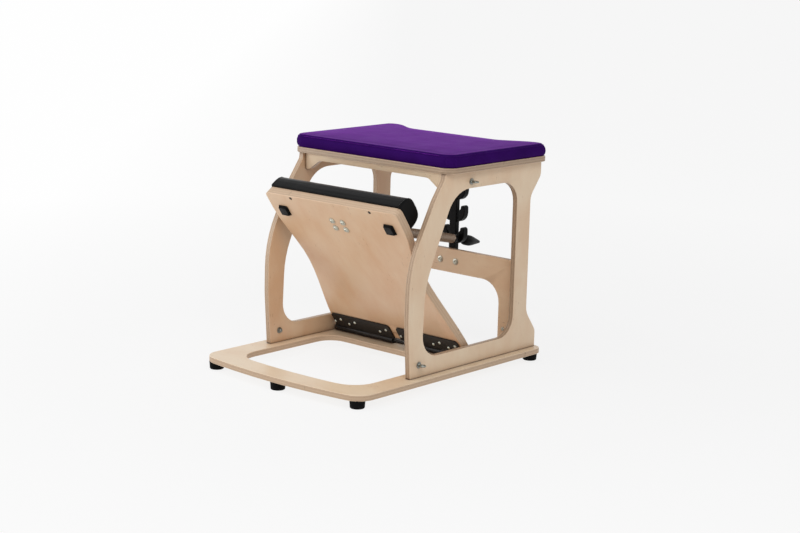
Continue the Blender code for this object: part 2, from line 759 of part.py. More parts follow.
def hinge_screw_places(side):
    """Screws zigzag along each plate: two near the middle of the chair and four near its side."""
    starts = ((0.022, 2), (0.144, 4)) if side > 0 else ((-0.058, 2), (-0.236, 4))
    low, high, pitch = 0.0290, 0.0415, 0.028
    return [(start + pitch * k, high if k % 2 else low) for start, count in starts for k in range(count)]


# Pedal

def make_pedal(mats, pedal):
    """The pedal panel, its pad, its stops and everything bolted to it."""
    bm = sheet_mesh(pedal_outline(), -PEDAL_BACK, PEDAL_THICKNESS, UPRIGHT)
    panel = add_piece("pedal_panel", bm, mats["ply"], pedal)
    round_over(panel)
    through = [(x, PEDAL_FRONT - 0.005, BRACKET_BOLT_Z) for x in (-BOLT_X, BOLT_X)]
    drill(panel, "bracket_bolt_holes", 0.0034, PEDAL_THICKNESS + 0.010, through, (0, 1, 0), 8)
    blind = [(x, PEDAL_FRONT - 0.005, PAD_BOLT_Z) for x in (-BOLT_X, BOLT_X)]
    drill(panel, "pad_bolt_holes", 0.0034, PEDAL_THICKNESS, blind, (0, 1, 0), 8)
    screws = [(x, z) for side in (-1, 1) for x, z in hinge_screw_places(side)]
    drill(panel, "hinge_screw_holes", 0.0023, 0.018, [(x, -0.002, z) for x, z in screws], (0, 1, 0), 6)
    pads = [(x, PEDAL_FRONT, PAD_SCREW_Z) for x in (-PAD_SCREW_X, PAD_SCREW_X)]
    recess = 0.002
    sunk = [(x, y - 0.003, z) for x, y, z in pads]
    drill(panel, "pad_screw_recesses", 0.0050, recess + 0.003, sunk, (0, 1, 0), 12)
    drill(panel, "pad_screw_holes", 0.0023, 0.020, sunk, (0, 1, 0), 6)
    head = [(0.0, GAP), (0.0038, GAP), (0.0044, recess - GAP), (0.0020, recess - GAP), (0.0020, 0.0145),
            (0.0, 0.0155)]
    pad_screw = turned_mesh("pad_screw", head, 10)
    names = ["left_pad_screw", "right_pad_screw"]
    place_copies(names, pad_screw, pads, (0, 1, 0), mats["black_steel"], pedal)
    screw = turned_mesh("hinge_screw", [(0.0, 0.0145), (0.0020, 0.0130), (0.0020, -GAP), (0.0044, -GAP),
                                        (0.0, -0.0020)], 8)
    face = [(x, -HINGE_SHEET / 2, z) for x, z in screws]
    place_copies(numbered("hinge_screw", len(face)), screw, face, (0, 1, 0), mats["zinc"], pedal)
    make_pad(mats, pedal)
    make_bumpers(mats, pedal)
    make_bracket(mats, pedal)


def make_pad(mats, pedal):
    """A bolster with a flat back, a rounded front and drawn-in ends."""
    start = PEDAL_BACK + GAP
    centre = PEDAL_TOP + PAD_OVERHANG - PAD_WIDTH / 2
    count = 16
    section = []
    for k in range(count + 1):
        angle = pi * k / count
        x, y = cos(angle), sin(angle)
        reach = (abs(x) ** PAD_SQUARENESS + abs(y) ** PAD_SQUARENESS) ** (-1 / PAD_SQUARENESS)
        section.append((x * reach * PAD_WIDTH / 2, y * reach * PAD_HEIGHT))
    bm = bmesh.new()
    rings = []
    for x, share in PAD_RINGS:
        place = Vector((x * PAD_HALF, start, centre))
        rings.append([bm.verts.new(place + Vector((0, y * share, z * share))) for z, y in section])
    for low, high in zip(rings, rings[1:]):
        for k in range(count + 1):
            n = (k + 1) % (count + 1)
            bm.faces.new((low[k], low[n], high[n], high[k]))
    bm.faces.new(rings[0])
    bm.faces.new(rings[-1][::-1])
    add_piece("pedal_pad", bm, mats["black_vinyl"], pedal, 50)


def make_bumpers(mats, pedal):
    """Two tapered rubber stops that meet the base when the pedal is pressed right down."""
    half, face, thickness, middle = 0.0166, 0.0132, 0.008, 0.472
    outline = fillet([(-half, -half, 0.002), (half, -half, 0.002), (half, half, 0.002), (-half, half, 0.002)])
    for name, x in (("left_bumper", -0.1965), ("right_bumper", 0.1965)):
        bm = sheet_mesh(outline, -PEDAL_FRONT + GAP, thickness, UPRIGHT)
        for vert in bm.verts:
            share = face / half if vert.co.y < PEDAL_FRONT - thickness / 2 else 1.0
            vert.co = (x + vert.co.x * share, vert.co.y, middle + vert.co.z * share)
        bm.normal_update()
        round_over(add_piece(name, bm, mats["rubber"], pedal), 0.0012, 1)


def make_bracket(mats, pedal):
    """The spring bracket on the pedal's back face: a plate with a pair of ears for each of two springs."""
    start = PEDAL_BACK + GAP
    low, high = BRACKET_PIN_Z - 0.013, BRACKET_TOP
    plate = fillet([(0.032, low, 0.005), (0.032, high, 0.005), (-0.032, high, 0.005), (-0.032, low, 0.005)])
    bm = sheet_mesh(plate, -start - BRACKET_SHEET, BRACKET_SHEET, UPRIGHT)
    bracket = add_piece("spring_bracket", bm, mats["black_steel"], pedal)
    reach = BRACKET_PIN_Y + EAR_MARGIN
    below, above = BRACKET_PIN_Z - EAR_MARGIN, BRACKET_PIN_Z + EAR_MARGIN
    ear = fillet([(start + 0.001, below - 0.004, 0.0), (reach, below, 0.0078), (reach, above, 0.0078),
                  (start + 0.001, above + 0.010, 0.0)])
    for i, (middle, side) in enumerate((m, s) for m in (-HOOK_X, HOOK_X) for s in (-1, 1)):
        edge = middle + side * EAR_SPACE / 2
        bm = sheet_mesh(ear, edge if side > 0 else edge - EAR_SHEET, EAR_SHEET, SIDEWAYS)
        boolean(bracket, add_piece("ear_%d" % (i + 1), bm, mats["black_steel"], pedal), "UNION")
    hole = (-0.04, BRACKET_PIN_Y, BRACKET_PIN_Z)
    drill(bracket, "ear_holes", BRACKET_PIN_RADIUS + GAP, 0.08, [hole], (1, 0, 0), 12)
    holes = [(x, start - 0.005, BRACKET_BOLT_Z) for x in (-BOLT_X, BOLT_X)]
    drill(bracket, "plate_holes", 0.0034, 0.020, holes, (0, 1, 0), 8)
    end = EAR_SPACE / 2 + EAR_SHEET + GAP
    pin = [(0.0, -end - 0.0018), (0.0042, -end - 0.0016), (0.0042, -end), (BRACKET_PIN_RADIUS, -end),
           (BRACKET_PIN_RADIUS, end), (0.0042, end), (0.0042, end + 0.0016), (0.0, end + 0.0018)]
    places = [(x, BRACKET_PIN_Y, BRACKET_PIN_Z) for x in (-HOOK_X, HOOK_X)]
    names = ["left_bracket_pin", "right_bracket_pin"]
    place_copies(names, turned_mesh("bracket_pin", pin, 12), places, (1, 0, 0), mats["zinc"], pedal)
    for stem, height, reach in (("bracket", BRACKET_BOLT_Z, PEDAL_THICKNESS + GAP + BRACKET_SHEET + 0.008),
                                ("pad", PAD_BOLT_Z, PEDAL_THICKNESS - 0.006)):
        bolt = turned_mesh(stem + "_bolt", bolt_profile(reach), 10)
        places = [(x, PEDAL_FRONT, height) for x in (-BOLT_X, BOLT_X)]
        names = ["left_%s_bolt" % stem, "right_%s_bolt" % stem]
        place_copies(names, bolt, places, (0, 1, 0), mats["zinc"], pedal)
    places = [(x, start + BRACKET_SHEET + GAP, BRACKET_BOLT_Z) for x in (-BOLT_X, BOLT_X)]
    nut = nut_mesh("bracket_nut", 0.0064, 0.0039, 0.005)
    place_copies(["left_bracket_nut", "right_bracket_nut"], nut, places, (0, 1, 0), mats["zinc"], pedal)


# Spring, in its own axes: z runs from the hook on the tree to the bracket pin

def bracket_pin_place():
    """The bracket pin's y and z in the chair's axes, with the pedal at rest."""
    y = HINGE_Y + BRACKET_PIN_Y * cos(PEDAL_LEAN) - BRACKET_PIN_Z * sin(PEDAL_LEAN)
    z = HINGE_Z + BRACKET_PIN_Y * sin(PEDAL_LEAN) + BRACKET_PIN_Z * cos(PEDAL_LEAN)
    return y, z


def pressed_pin_place():
    """The bracket pin's y and z with the pedal pressed right down."""
    y, z = bracket_pin_place()
    dy, dz = y - HINGE_Y, z - HINGE_Z
    turn = PEDAL_TRAVEL
    return HINGE_Y + dy * cos(turn) - dz * sin(turn), HINGE_Z + dy * sin(turn) + dz * cos(turn)


def spring_line(y, z):
    """The length from the tree hook to a place, and its slope above level."""
    return hypot(HOOK_Y - y, z - HOOK_Z), atan2(z - HOOK_Z, HOOK_Y - y)


def coil_path(start, end):
    """An open helix whose ends run straight along its axis for one wire diameter."""
    wire = 2 * COIL_WIRE
    radius = COIL_OUTER - COIL_WIRE
    low, high = start + GAP, end - GAP
    count = COIL_TURNS * COIL_POINTS
    first, last = low + wire + COIL_WIRE, high - wire - COIL_WIRE
    points = [(radius, 0.0, low), (radius, 0.0, low + wire)]
    for k in range(count + 1):
        angle = 2 * pi * k / COIL_POINTS
        points.append((radius * cos(angle), radius * sin(angle), first + (last - first) * k / count))
    points += [(radius, 0.0, high - wire), (radius, 0.0, high)]
    return points


def least_gap(points):
    """The smallest space between one turn's surface and the next, read along the path."""
    turn = points[2:-2]
    gap = 1.0
    for i in range(len(turn) - COIL_POINTS):
        a = Vector(turn[i])
        for j in (i + COIL_POINTS - 1, i + COIL_POINTS, i + COIL_POINTS + 1):
            if j < len(turn):
                gap = min(gap, (a - Vector(turn[j])).length - 2 * COIL_WIRE)
    return gap


def make_spring(mats, root):
    """The coil, its two plugs, the eye at the pedal end, and the neck and knob at the tree end."""
    length, slope = spring_line(*bracket_pin_place())
    axis = empty("spring_axis", (HOOK_X, HOOK_Y, HOOK_Z), pi / 2 - slope, root)
    rear_low, rear_high = REAR_PLUG
    front_low = length - FRONT_PLUG
    path = coil_path(rear_high, front_low)
    print("least gap in the coil, mm:", round(least_gap(path) * 1000, 2))
    curve = bpy.data.curves.new("spring_coil", "CURVE")
    curve.dimensions = "3D"
    curve.bevel_depth = COIL_WIRE
    curve.bevel_resolution = 1
    curve.use_fill_caps = True
    spline = curve.splines.new("POLY")
    spline.points.add(len(path) - 1)
    for point, place in zip(spline.points, path):
        point.co = (*place, 1.0)
    coil = bpy.data.objects.new("spring_coil", curve)
    coil.parent = axis
    curve.materials.append(mats["spring_steel"])
    bpy.context.collection.objects.link(coil)
    neck = NECK_RADIUS
    knob = [(0.0, -KNOB_TIP), (0.0028, -KNOB_TIP + 0.0007), (0.0045, -KNOB_TIP + 0.0040), (0.0082, -0.079),
            (0.0130, -0.061), (0.0160, -0.047), (0.0168, -0.038), (0.0158, -0.028), (0.0125, -0.019),
            (0.0080, -0.0142), (neck, -0.0142), (neck, rear_low - GAP), (0.0, rear_low - GAP)]
    rear_plug = [(0.0, rear_low), (0.0080, rear_low), (0.0120, rear_low + 0.004), (0.0137, rear_low + 0.007),
                 (0.0137, rear_high), (0.0, rear_high)]
    front_plug = [(0.0, front_low), (0.0137, front_low), (0.0137, front_low + 0.005),
                  (0.0080, front_low + 0.012), (0.0, front_low + 0.012)]
    profiles = {"spring_knob": knob, "spring_rear_plug": rear_plug, "spring_front_plug": front_plug}
    for name, profile in profiles.items():
        place_copies([name], turned_mesh(name, profile, 16), [(0, 0, 0)], (0, 0, 1), mats["nylon"], axis)
    make_eye(length, front_low + 0.012, mats, axis)
    full_length, full_slope = spring_line(*pressed_pin_place())
    print("pedal pressed: swing per radian", round((slope - full_slope) / PEDAL_TRAVEL, 5),
          "stretch in metres per radian", round((full_length - length) / PEDAL_TRAVEL, 5),
          "swing in degrees", round(degrees(slope - full_slope), 3),
          "stretch", round(full_length - length, 5))


def make_eye(length, plug_end, mats, axis):
    """A flat oval eye: its slot is long, so the pin stays clear while the pedal is part way down."""
    back, ahead, half = EYE_SLOT
    slot = fillet([(half, length - back, 0.006), (half, length + ahead, 0.0075),
                   (-half, length + ahead, 0.0075), (-half, length - back, 0.006)])
    low, high, wide = length - back - EYE_WALL, length + ahead + EYE_WALL, half + EYE_WALL
    outer = fillet([(wide, low, 0.0085), (wide, high, 0.011), (-wide, high, 0.011), (-wide, low, 0.0085)])
    bm = sheet_mesh(outer, -EYE_SHEET / 2, EYE_SHEET, SIDEWAYS, [slot])
    eye = add_piece("spring_eye", bm, mats["zinc"], axis)
    bm = bmesh.new()
    add_turned(bm, [(0.003, plug_end + GAP), (0.003, low + 0.002)], Matrix.Identity(4), 10)
    boolean(eye, add_piece("eye_shank", bm, mats["zinc"], axis), "UNION")


def stand_on_origin(root):
    """Moves the chair so that its box stands centred on the origin."""
    bpy.context.view_layer.update()
    graph = bpy.context.evaluated_depsgraph_get()
    corners = []
    for thing in bpy.data.objects:
        if thing.type in {"MESH", "CURVE"} and not thing.hide_render:
            solid = thing.evaluated_get(graph)
            mesh = solid.to_mesh()
            corners += [solid.matrix_world @ v.co for v in mesh.vertices]
            solid.to_mesh_clear()
    middle = [(min(c[i] for c in corners) + max(c[i] for c in corners)) / 2 for i in range(2)]
    root.location = (-middle[0], -middle[1], -min(c.z for c in corners))
    print("chair moved by", [round(v, 5) for v in root.location])


def main():
    clear_scene()
    mats = {
        "ply": finish("birch_ply", (0.62, 0.45, 0.30), 0.45),
        "rubber": finish("black_rubber", (0.02, 0.02, 0.02), 0.75),
        "seat_vinyl": finish("purple_vinyl", (0.085, 0.012, 0.21), 0.45),
        "black_vinyl": finish("black_vinyl", (0.025, 0.025, 0.028), 0.5),
        "black_steel": finish("black_coated_steel", (0.02, 0.02, 0.022), 0.5, 0.2),
        "zinc": finish("zinc_plated_steel", (0.55, 0.56, 0.58), 0.35, 1.0),
        "nylon": finish("black_nylon", (0.018, 0.018, 0.020), 0.45),
        "spring_steel": finish("nickel_plated_wire", (0.42, 0.38, 0.35), 0.35, 1.0),
    }
    root = empty("chair", (0, 0, 0))
    pedal = empty("pedal_axis", (0.0, HINGE_Y, HINGE_Z), PEDAL_LEAN, root)
    make_base(mats, root)
    make_side_frames(mats, root)
    make_rails_and_arch(mats, root)
    make_seat(mats, root)
    make_tree(mats, root)
    make_hinge(mats, root, pedal)
    make_pedal(mats, pedal)
    make_spring(mats, root)
    stand_on_origin(root)


main()
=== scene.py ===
"""The looks of a plywood pilates chair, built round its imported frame.

Lengths are metres, +Z is up and the pedal is at the front, towards -Y. The pieces that stand on the pedal are
placed in its own axes: x across, y out of the panel's back face and z up the panel from the hinge pin.
"""
import json
from functools import cache, partial
from math import cos, pi, radians, sin

import bmesh
import bpy
import numpy as np
from mathutils import Matrix, Vector
from mathutils.bvhtree import BVHTree
from mathutils.kdtree import KDTree

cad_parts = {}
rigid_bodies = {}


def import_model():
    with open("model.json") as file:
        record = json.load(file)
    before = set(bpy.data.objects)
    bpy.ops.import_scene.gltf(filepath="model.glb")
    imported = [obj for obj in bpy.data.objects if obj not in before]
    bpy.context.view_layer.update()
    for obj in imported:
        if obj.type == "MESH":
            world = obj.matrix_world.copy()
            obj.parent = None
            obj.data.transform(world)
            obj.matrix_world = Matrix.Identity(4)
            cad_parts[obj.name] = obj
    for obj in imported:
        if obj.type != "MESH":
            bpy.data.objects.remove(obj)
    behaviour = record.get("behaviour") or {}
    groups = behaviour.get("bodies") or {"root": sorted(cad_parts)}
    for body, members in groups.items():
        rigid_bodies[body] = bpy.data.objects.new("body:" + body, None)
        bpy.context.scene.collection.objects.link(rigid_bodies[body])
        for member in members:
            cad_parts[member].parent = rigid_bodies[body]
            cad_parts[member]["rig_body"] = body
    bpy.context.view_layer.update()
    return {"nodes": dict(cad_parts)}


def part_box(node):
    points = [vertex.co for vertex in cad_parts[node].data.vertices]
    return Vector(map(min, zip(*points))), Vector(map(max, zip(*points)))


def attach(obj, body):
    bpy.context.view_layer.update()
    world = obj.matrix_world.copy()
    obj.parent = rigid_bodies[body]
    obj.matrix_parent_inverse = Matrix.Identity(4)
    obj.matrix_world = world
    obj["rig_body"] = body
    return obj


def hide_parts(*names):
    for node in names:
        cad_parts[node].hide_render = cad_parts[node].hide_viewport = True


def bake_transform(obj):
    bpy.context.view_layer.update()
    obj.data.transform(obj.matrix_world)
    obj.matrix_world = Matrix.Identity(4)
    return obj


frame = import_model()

bl_info = {
    "name": "Pilates chair",
    "version": (1, 0, 0),
    "blender": (4, 5, 0),
    "location": "3D View > Sidebar > Chair",
    "description": "Dresses the frame of a plywood pilates chair in wood, vinyl, rubber and steel",
    "category": "Add Mesh",
}

UP = Vector((0.0, 0.0, 1.0))

# The frame's sheets, and the gap left between two pieces that touch
GAP = 0.0003
PLY = 0.0155
PANEL_THICKNESS = 0.025
PANEL_FRONT = 0.00205

# The pedal's own axes: its hinge pin, the way out of the panel's back face, and the way up the panel
HINGE_AXIS = Vector((0.0, 0.08956, 0.047))
PEDAL_LEAN = radians(35.2)
PANEL_OUT = Vector((0.0, cos(PEDAL_LEAN), sin(PEDAL_LEAN)))
PANEL_UP = Vector((0.0, -sin(PEDAL_LEAN), cos(PEDAL_LEAN)))
PANEL_TURN = Matrix((Vector((1, 0, 0)), PANEL_OUT, PANEL_UP)).transposed()
PANEL_AXES = Matrix.Translation(HINGE_AXIS) @ PANEL_TURN.to_4x4()

# What is fixed to the panel: the hinge's sheet and screws, and the bolts of the bracket and the pad
HINGE_SHEET = 0.0035
SCREW_ROWS = (0.029, 0.0415)
SCREW_PITCH = 0.028
SCREW_STARTS = ((-0.058, 2), (-0.236, 4), (0.022, 2), (0.144, 4))
BOLT_X = 0.0195
BRACKET_BOLT_Z = 0.438
PAD_BOLT_Z = 0.464
BRACKET_SHEET = 0.004

# The spring, by its distance from the hook that it hangs on
SPRING_HOOK = Vector((0.0168, 0.32326, 0.3192))
SPRING_AXIS = Vector((0.0, -0.979151, 0.203174))
SPRING_LENGTH = 0.43027
SPRING_RADIUS = 0.014
COIL_START = 0.0305
COIL_END = SPRING_LENGTH - 0.0345

# Heights above the foot of the seat cushion: the fold of its seam, and the welt under it
SEAT_SEAM = 0.0326
SEAT_WELT = 0.03
WELT_RADIUS = 0.0012

# How the vinyl covers behave in their short simulation
COVER_CLOTH = {"quality": 5, "mass": 0.4, "tension_stiffness": 25, "compression_stiffness": 25,
               "shear_stiffness": 8, "bending_stiffness": 2.0, "use_pressure": True,
               "uniform_pressure_force": 4.0}
COVER_FRAMES = 20

# Colours, as sRGB hex values
BIRCH_PALE = "#E3CFB3"
BIRCH_WARM = "#D0A680"
BIRCH_PORE = "#B08E6C"
BIRCH_FLECK = "#96694A"
EDGE_LONG = "#D3B798"
EDGE_CROSS = "#A17F65"
EDGE_GLUE = "#70533E"
EDGE_VOID = "#4C3626"
SEAT_VINYL = "#35105E"
SEAT_SHEEN = "#BE42F8"
PAD_VINYL = "#0D0D0E"
PAD_SHEEN = "#FFFFFF"

# The light: each lamp's name, place, size and power in watts
LAMPS = (
    ("overhead_softbox", (-0.5, -0.9, 2.6), 1.8, 13.0),
    ("front_softbox", (0.0, -3.4, 1.8), 1.6, 17.0),
    ("left_softbox", (-2.8, -1.9, 0.9), 1.8, 30.0),
    ("right_softbox", (2.2, -1.3, 2.5), 1.2, 27.0),
)
LAMPS_AIM = Vector((0.0, 0.0, 0.3))
WORLD_LIGHT = 0.44

# The camera, solved from the photograph: its place, the ways to its right, up and back, and its focal length
CAMERA_PLACE = (3.15095, -3.48308, 1.24607)
CAMERA_AXES = ((0.745896, 0.665614, 0.02443), (-0.15197, 0.134359, 0.97921), (0.648493, -0.734102, 0.201371))
FOCAL_PIXELS = 1711.7
IMAGE_WIDTH = 800.0
SENSOR = 36.0


def linear(colour):
    """Turns an sRGB hex value into the linear colour that Blender's sockets take."""
    parts = [int(colour[k:k + 2], 16) / 255 for k in (1, 3, 5)]
    return tuple(c / 12.92 if c <= 0.04045 else ((c + 0.055) / 1.055) ** 2.4 for c in parts) + (1.0,)


def shaded(colour, share):
    """A linear colour made darker or lighter by a share."""
    return [c * share for c in colour[:3]] + [1.0]


COLOUR = {"subtype": "COLOR", "size": 4, "min": 0.0, "max": 1.0}


class ChairLooks(bpy.types.PropertyGroup):
    """The sizes and colours of the chair that a user would change."""
    veneer_pale: bpy.props.FloatVectorProperty(
        name="Pale veneer", description="Colour of the palest birch in the face veneer",
        **COLOUR, default=linear(BIRCH_PALE))
    veneer_warm: bpy.props.FloatVectorProperty(
        name="Warm veneer", description="Colour of the warmest birch in the face veneer",
        **COLOUR, default=linear(BIRCH_WARM))
    edge_long: bpy.props.FloatVectorProperty(
        name="Long-grain plies", description="Colour of the plies whose grain runs along the edge",
        **COLOUR, default=linear(EDGE_LONG))
    edge_cross: bpy.props.FloatVectorProperty(
        name="End-grain plies", description="Colour of the plies that show their end grain",
        **COLOUR, default=linear(EDGE_CROSS))
    seat_vinyl: bpy.props.FloatVectorProperty(
        name="Seat vinyl", description="Colour of the seat's cover",
        **COLOUR, default=linear(SEAT_VINYL))
    pad_vinyl: bpy.props.FloatVectorProperty(
        name="Pad vinyl", description="Colour of the pad's cover",
        **COLOUR, default=linear(PAD_VINYL))
    seat_swell: bpy.props.FloatProperty(
        name="Seat swell", description="The most that the seat's foam pushes its cover out",
        unit="LENGTH", min=0.0, max=0.01, default=0.0018, precision=4)
    pad_swell: bpy.props.FloatProperty(
        name="Pad swell", description="The most that the pad's foam pushes its cover out",
        unit="LENGTH", min=0.0, max=0.01, default=0.0035, precision=4)
    ply_count: bpy.props.IntProperty(
        name="Plies", description="How many plies a sheet of the frame has", min=3, max=21, default=11)
    panel_plies: bpy.props.IntProperty(
        name="Panel plies", description="How many plies the pedal's panel has", min=3, max=25, default=17)
    wire: bpy.props.FloatProperty(
        name="Spring wire", description="Thickness of the spring's wire",
        unit="LENGTH", min=0.0015, max=0.004, default=0.0023, precision=4)


# Materials

def add_node(tree, kind, inputs=()):
    """Adds a shader node of a kind, such as "Bump", or "Math ADD" where it has an operation or a data type.

    Inputs gives its properties and constants, and what is linked to it: a socket, or a node, which stands for
    the first output that it has in use.
    """
    kind, *mode = kind.split()
    made = tree.nodes.new("ShaderNode" + kind)
    for choice in mode:
        setattr(made, "data_type" if kind == "Mix" else "operation", choice)
    for key, value in dict(inputs).items():
        if isinstance(value, bpy.types.Node):
            value = next(socket for socket in value.outputs if socket.enabled)
        if isinstance(value, bpy.types.NodeSocket):
            tree.links.new(value, made.inputs[key])
        elif isinstance(key, str) and hasattr(made, key):
            setattr(made, key, value)
        else:
            made.inputs[key].default_value = value
    return made


def new_material(name):
    """An empty node material, and the call that adds a node to it."""
    material = bpy.data.materials.new(name)
    material.use_nodes = True
    material.node_tree.nodes.clear()
    return material, partial(add_node, material.node_tree)


def end_material(add, shader):
    """Ends a material with its shader and output."""
    add("OutputMaterial", {"Surface": add("BsdfPrincipled", shader)})


def birch_plywood(name, across, along, low, thickness, plies, looks, seed, warmth, edge, light=1.0,
                  drift=0.0):
    """Rotary-cut birch plywood with a satin lacquer.

    The eye sees pale faces with a soft, wild figure, fine pores along the grain and a few brown flecks. The
    sawn edges show every ply: long grain is pale, end grain darker, with thin glue lines and small voids.
    Across is the sheet's normal, along its grain, and low where its lower face lies along the normal. Warmth
    is how far its veneer leans from pale to warm, and drift how fast that changes along the grain, per metre.
    Edge is how bright its edges are and how much the plies stand out. Light scales the veneer's colour.
    """
    material, add = new_material(name)
    across, along = Vector(across).normalized(), Vector(along).normalized()
    place = add("TexCoord")
    u, v, w = (add("VectorMath DOT_PRODUCT", {0: place.outputs["Object"], 1: axis})
               for axis in (along, across.cross(along), across))
    depth = add("Math SUBTRACT", {0: w, 1: low})
    sheet = add("CombineXYZ", {0: u, 1: v, 2: w})
    # The face veneer: figure about 30 mm wide and 120 mm long. Pores are about 0.1 mm wide in real birch, too
    # fine to show, so they are drawn about 1 mm wide.
    noise = {}
    for part, scale in (("cloud", (5, 8, 1)), ("figure", (9, 20, 1)), ("pores", (45, 900, 1)),
                        ("fleck", (60, 210, 1)), ("patch", (7, 7, 1)), ("fibre", (95, 95, 2200)),
                        ("wave", (22, 22, 1)), ("void", (60, 60, 20))):
        stretched = add("VectorMath MULTIPLY_ADD", {0: sheet, 1: scale, 2: (seed, seed * 0.37, seed * 1.9)})
        noise[part] = add("TexNoise", {"Scale": 1.0, "Detail": 3.0, "Roughness": 0.55,
                                       "Distortion": 1.4 if part == "figure" else 0.0, "Vector": stretched})
    figure = add("Math MULTIPLY_ADD", {0: noise["figure"], 1: 0.24, 2: noise["cloud"]})
    lean = add("MapRange", {"From Min": 0.46, "From Max": 0.78, "To Min": warmth - 0.2,
                            "To Max": warmth + 0.22, "Value": figure})
    lean = add("Math MULTIPLY_ADD", {0: u, 1: drift, 2: lean, "use_clamp": True})
    pale, warm = shaded(looks.veneer_pale, light), shaded(looks.veneer_warm, light)
    veneer = add("Mix RGBA", {0: lean, 6: pale, 7: warm})
    pores = add("MapRange", {"From Min": 0.52, "From Max": 0.75, "To Max": 0.09, "Value": noise["pores"]})
    veneer = add("Mix RGBA", {0: pores, 6: veneer, 7: linear(BIRCH_PORE)})
    fleck = add("MapRange", {"From Min": 0.655, "From Max": 0.72, "To Max": 0.6, "Value": noise["fleck"]})
    sparse = add("MapRange", {"From Min": 0.5, "From Max": 0.6, "Value": noise["patch"]})
    fleck = add("Math MULTIPLY", {0: fleck, 1: sparse})
    veneer = add("Mix RGBA", {0: fleck, 6: veneer, 7: linear(BIRCH_FLECK)})
    # The edge: the plies are 1.4 mm thick, as in birch plywood, and waver a little
    waver = add("Math MULTIPLY_ADD", {0: noise["wave"], 1: 0.0007, 2: -0.00035})
    waver = add("Math ADD", {0: waver, 1: depth})
    level = add("Math DIVIDE", {0: waver, 1: thickness / plies})
    index = add("Math FLOOR", {0: level})
    odd = add("Math PINGPONG", {0: index, 1: 1.0})
    within = add("Math FRACT", {0: level})
    within = add("Math SUBTRACT", {0: within, 1: 0.5})
    within = add("Math ABSOLUTE", {0: within})
    bright, clear = edge
    glue = add("MapRange", {"From Min": 0.4, "From Max": 0.49, "To Max": 0.4 * clear, "Value": within})
    tone = add("TexWhiteNoise", {"noise_dimensions": "1D", "W": index})
    tone = add("Math MULTIPLY_ADD", {0: tone, 1: 0.35, 2: odd})
    tone = add("Math MULTIPLY_ADD", {0: tone, 1: 0.45, 2: 0.02})
    # Plies of like tone lie in groups, which a viewer a few metres away sees as two darker bands
    band = add("Math MULTIPLY", {0: level, 1: 2 * pi / 5.2})
    band = add("Math COSINE", {0: band})
    tone = add("Math MULTIPLY_ADD", {0: band, 1: -0.22, 2: tone})
    fibre = add("MapRange", {"From Min": 0.35, "From Max": 0.7, "To Min": -0.18, "To Max": 0.3,
                             "Value": noise["fibre"]})
    tone = add("Math ADD", {0: tone, 1: fibre})
    tone = add("Math MULTIPLY_ADD", {0: tone, 1: clear, 2: 0.25 * (1 - clear), "use_clamp": True})
    pale, dark = shaded(looks.edge_long, bright), shaded(looks.edge_cross, bright)
    sawn = add("Mix RGBA", {0: tone, 6: pale, 7: dark})
    sawn = add("Mix RGBA", {0: glue, 6: sawn, 7: linear(EDGE_GLUE)})
    void = add("MapRange", {"From Min": 0.7, "From Max": 0.74, "To Max": 0.8, "Value": noise["void"]})
    void = add("Math MULTIPLY", {0: void, 1: odd})
    sawn = add("Mix RGBA", {0: void, 6: sawn, 7: linear(EDGE_VOID)})
    turned = add("VectorMath DOT_PRODUCT", {0: place.outputs["Normal"], 1: across})
    turned = add("Math ABSOLUTE", {0: turned})
    face = add("MapRange", {"From Min": 0.55, "From Max": 0.78, "Value": turned})
    colour = add("Mix RGBA", {0: face, 6: sawn, 7: veneer})
    # Painted shade: where sheets meet, the colour darkens by how occluded the spot is. This gives a dark line
    # in the joint and a faint painted shadow further out, such as under the seat board's overhang
    for reach, least, most, share, shade_tint in ((0.006, 0.45, 0.88, 0.95, "#6A4A34"),
                                            (0.022, 0.5, 0.92, 0.2, "#7A5A42")):
        painted_shade = add("AmbientOcclusion", {"samples": 6, "Distance": reach}).outputs["AO"]
        painted_shade = add("MapRange", {"From Min": least, "From Max": most, "To Min": share, "To Max": 0.0,
                                 "Value": painted_shade})
        colour = add("Mix RGBA", {0: painted_shade, 6: colour, 7: linear(shade_tint)})
    # Satin lacquer: the face is smoother than the open end grain
    rough = add("MapRange", {"To Min": 0.62, "To Max": 0.44, "Value": face})
    rough = add("Math MULTIPLY_ADD", {0: noise["pores"], 1: 0.1, 2: rough})
    relief = add("Mix FLOAT", {0: face, 2: noise["fibre"], 3: noise["pores"]})
    bump = add("Bump", {"Strength": 0.35, "Distance": 0.00025, "Height": relief})
    end_material(add, {"IOR": 1.5, "Coat Weight": 0.45, "Coat Roughness": 0.3, "Base Color": colour,
                       "Roughness": rough, "Normal": bump})
    return material


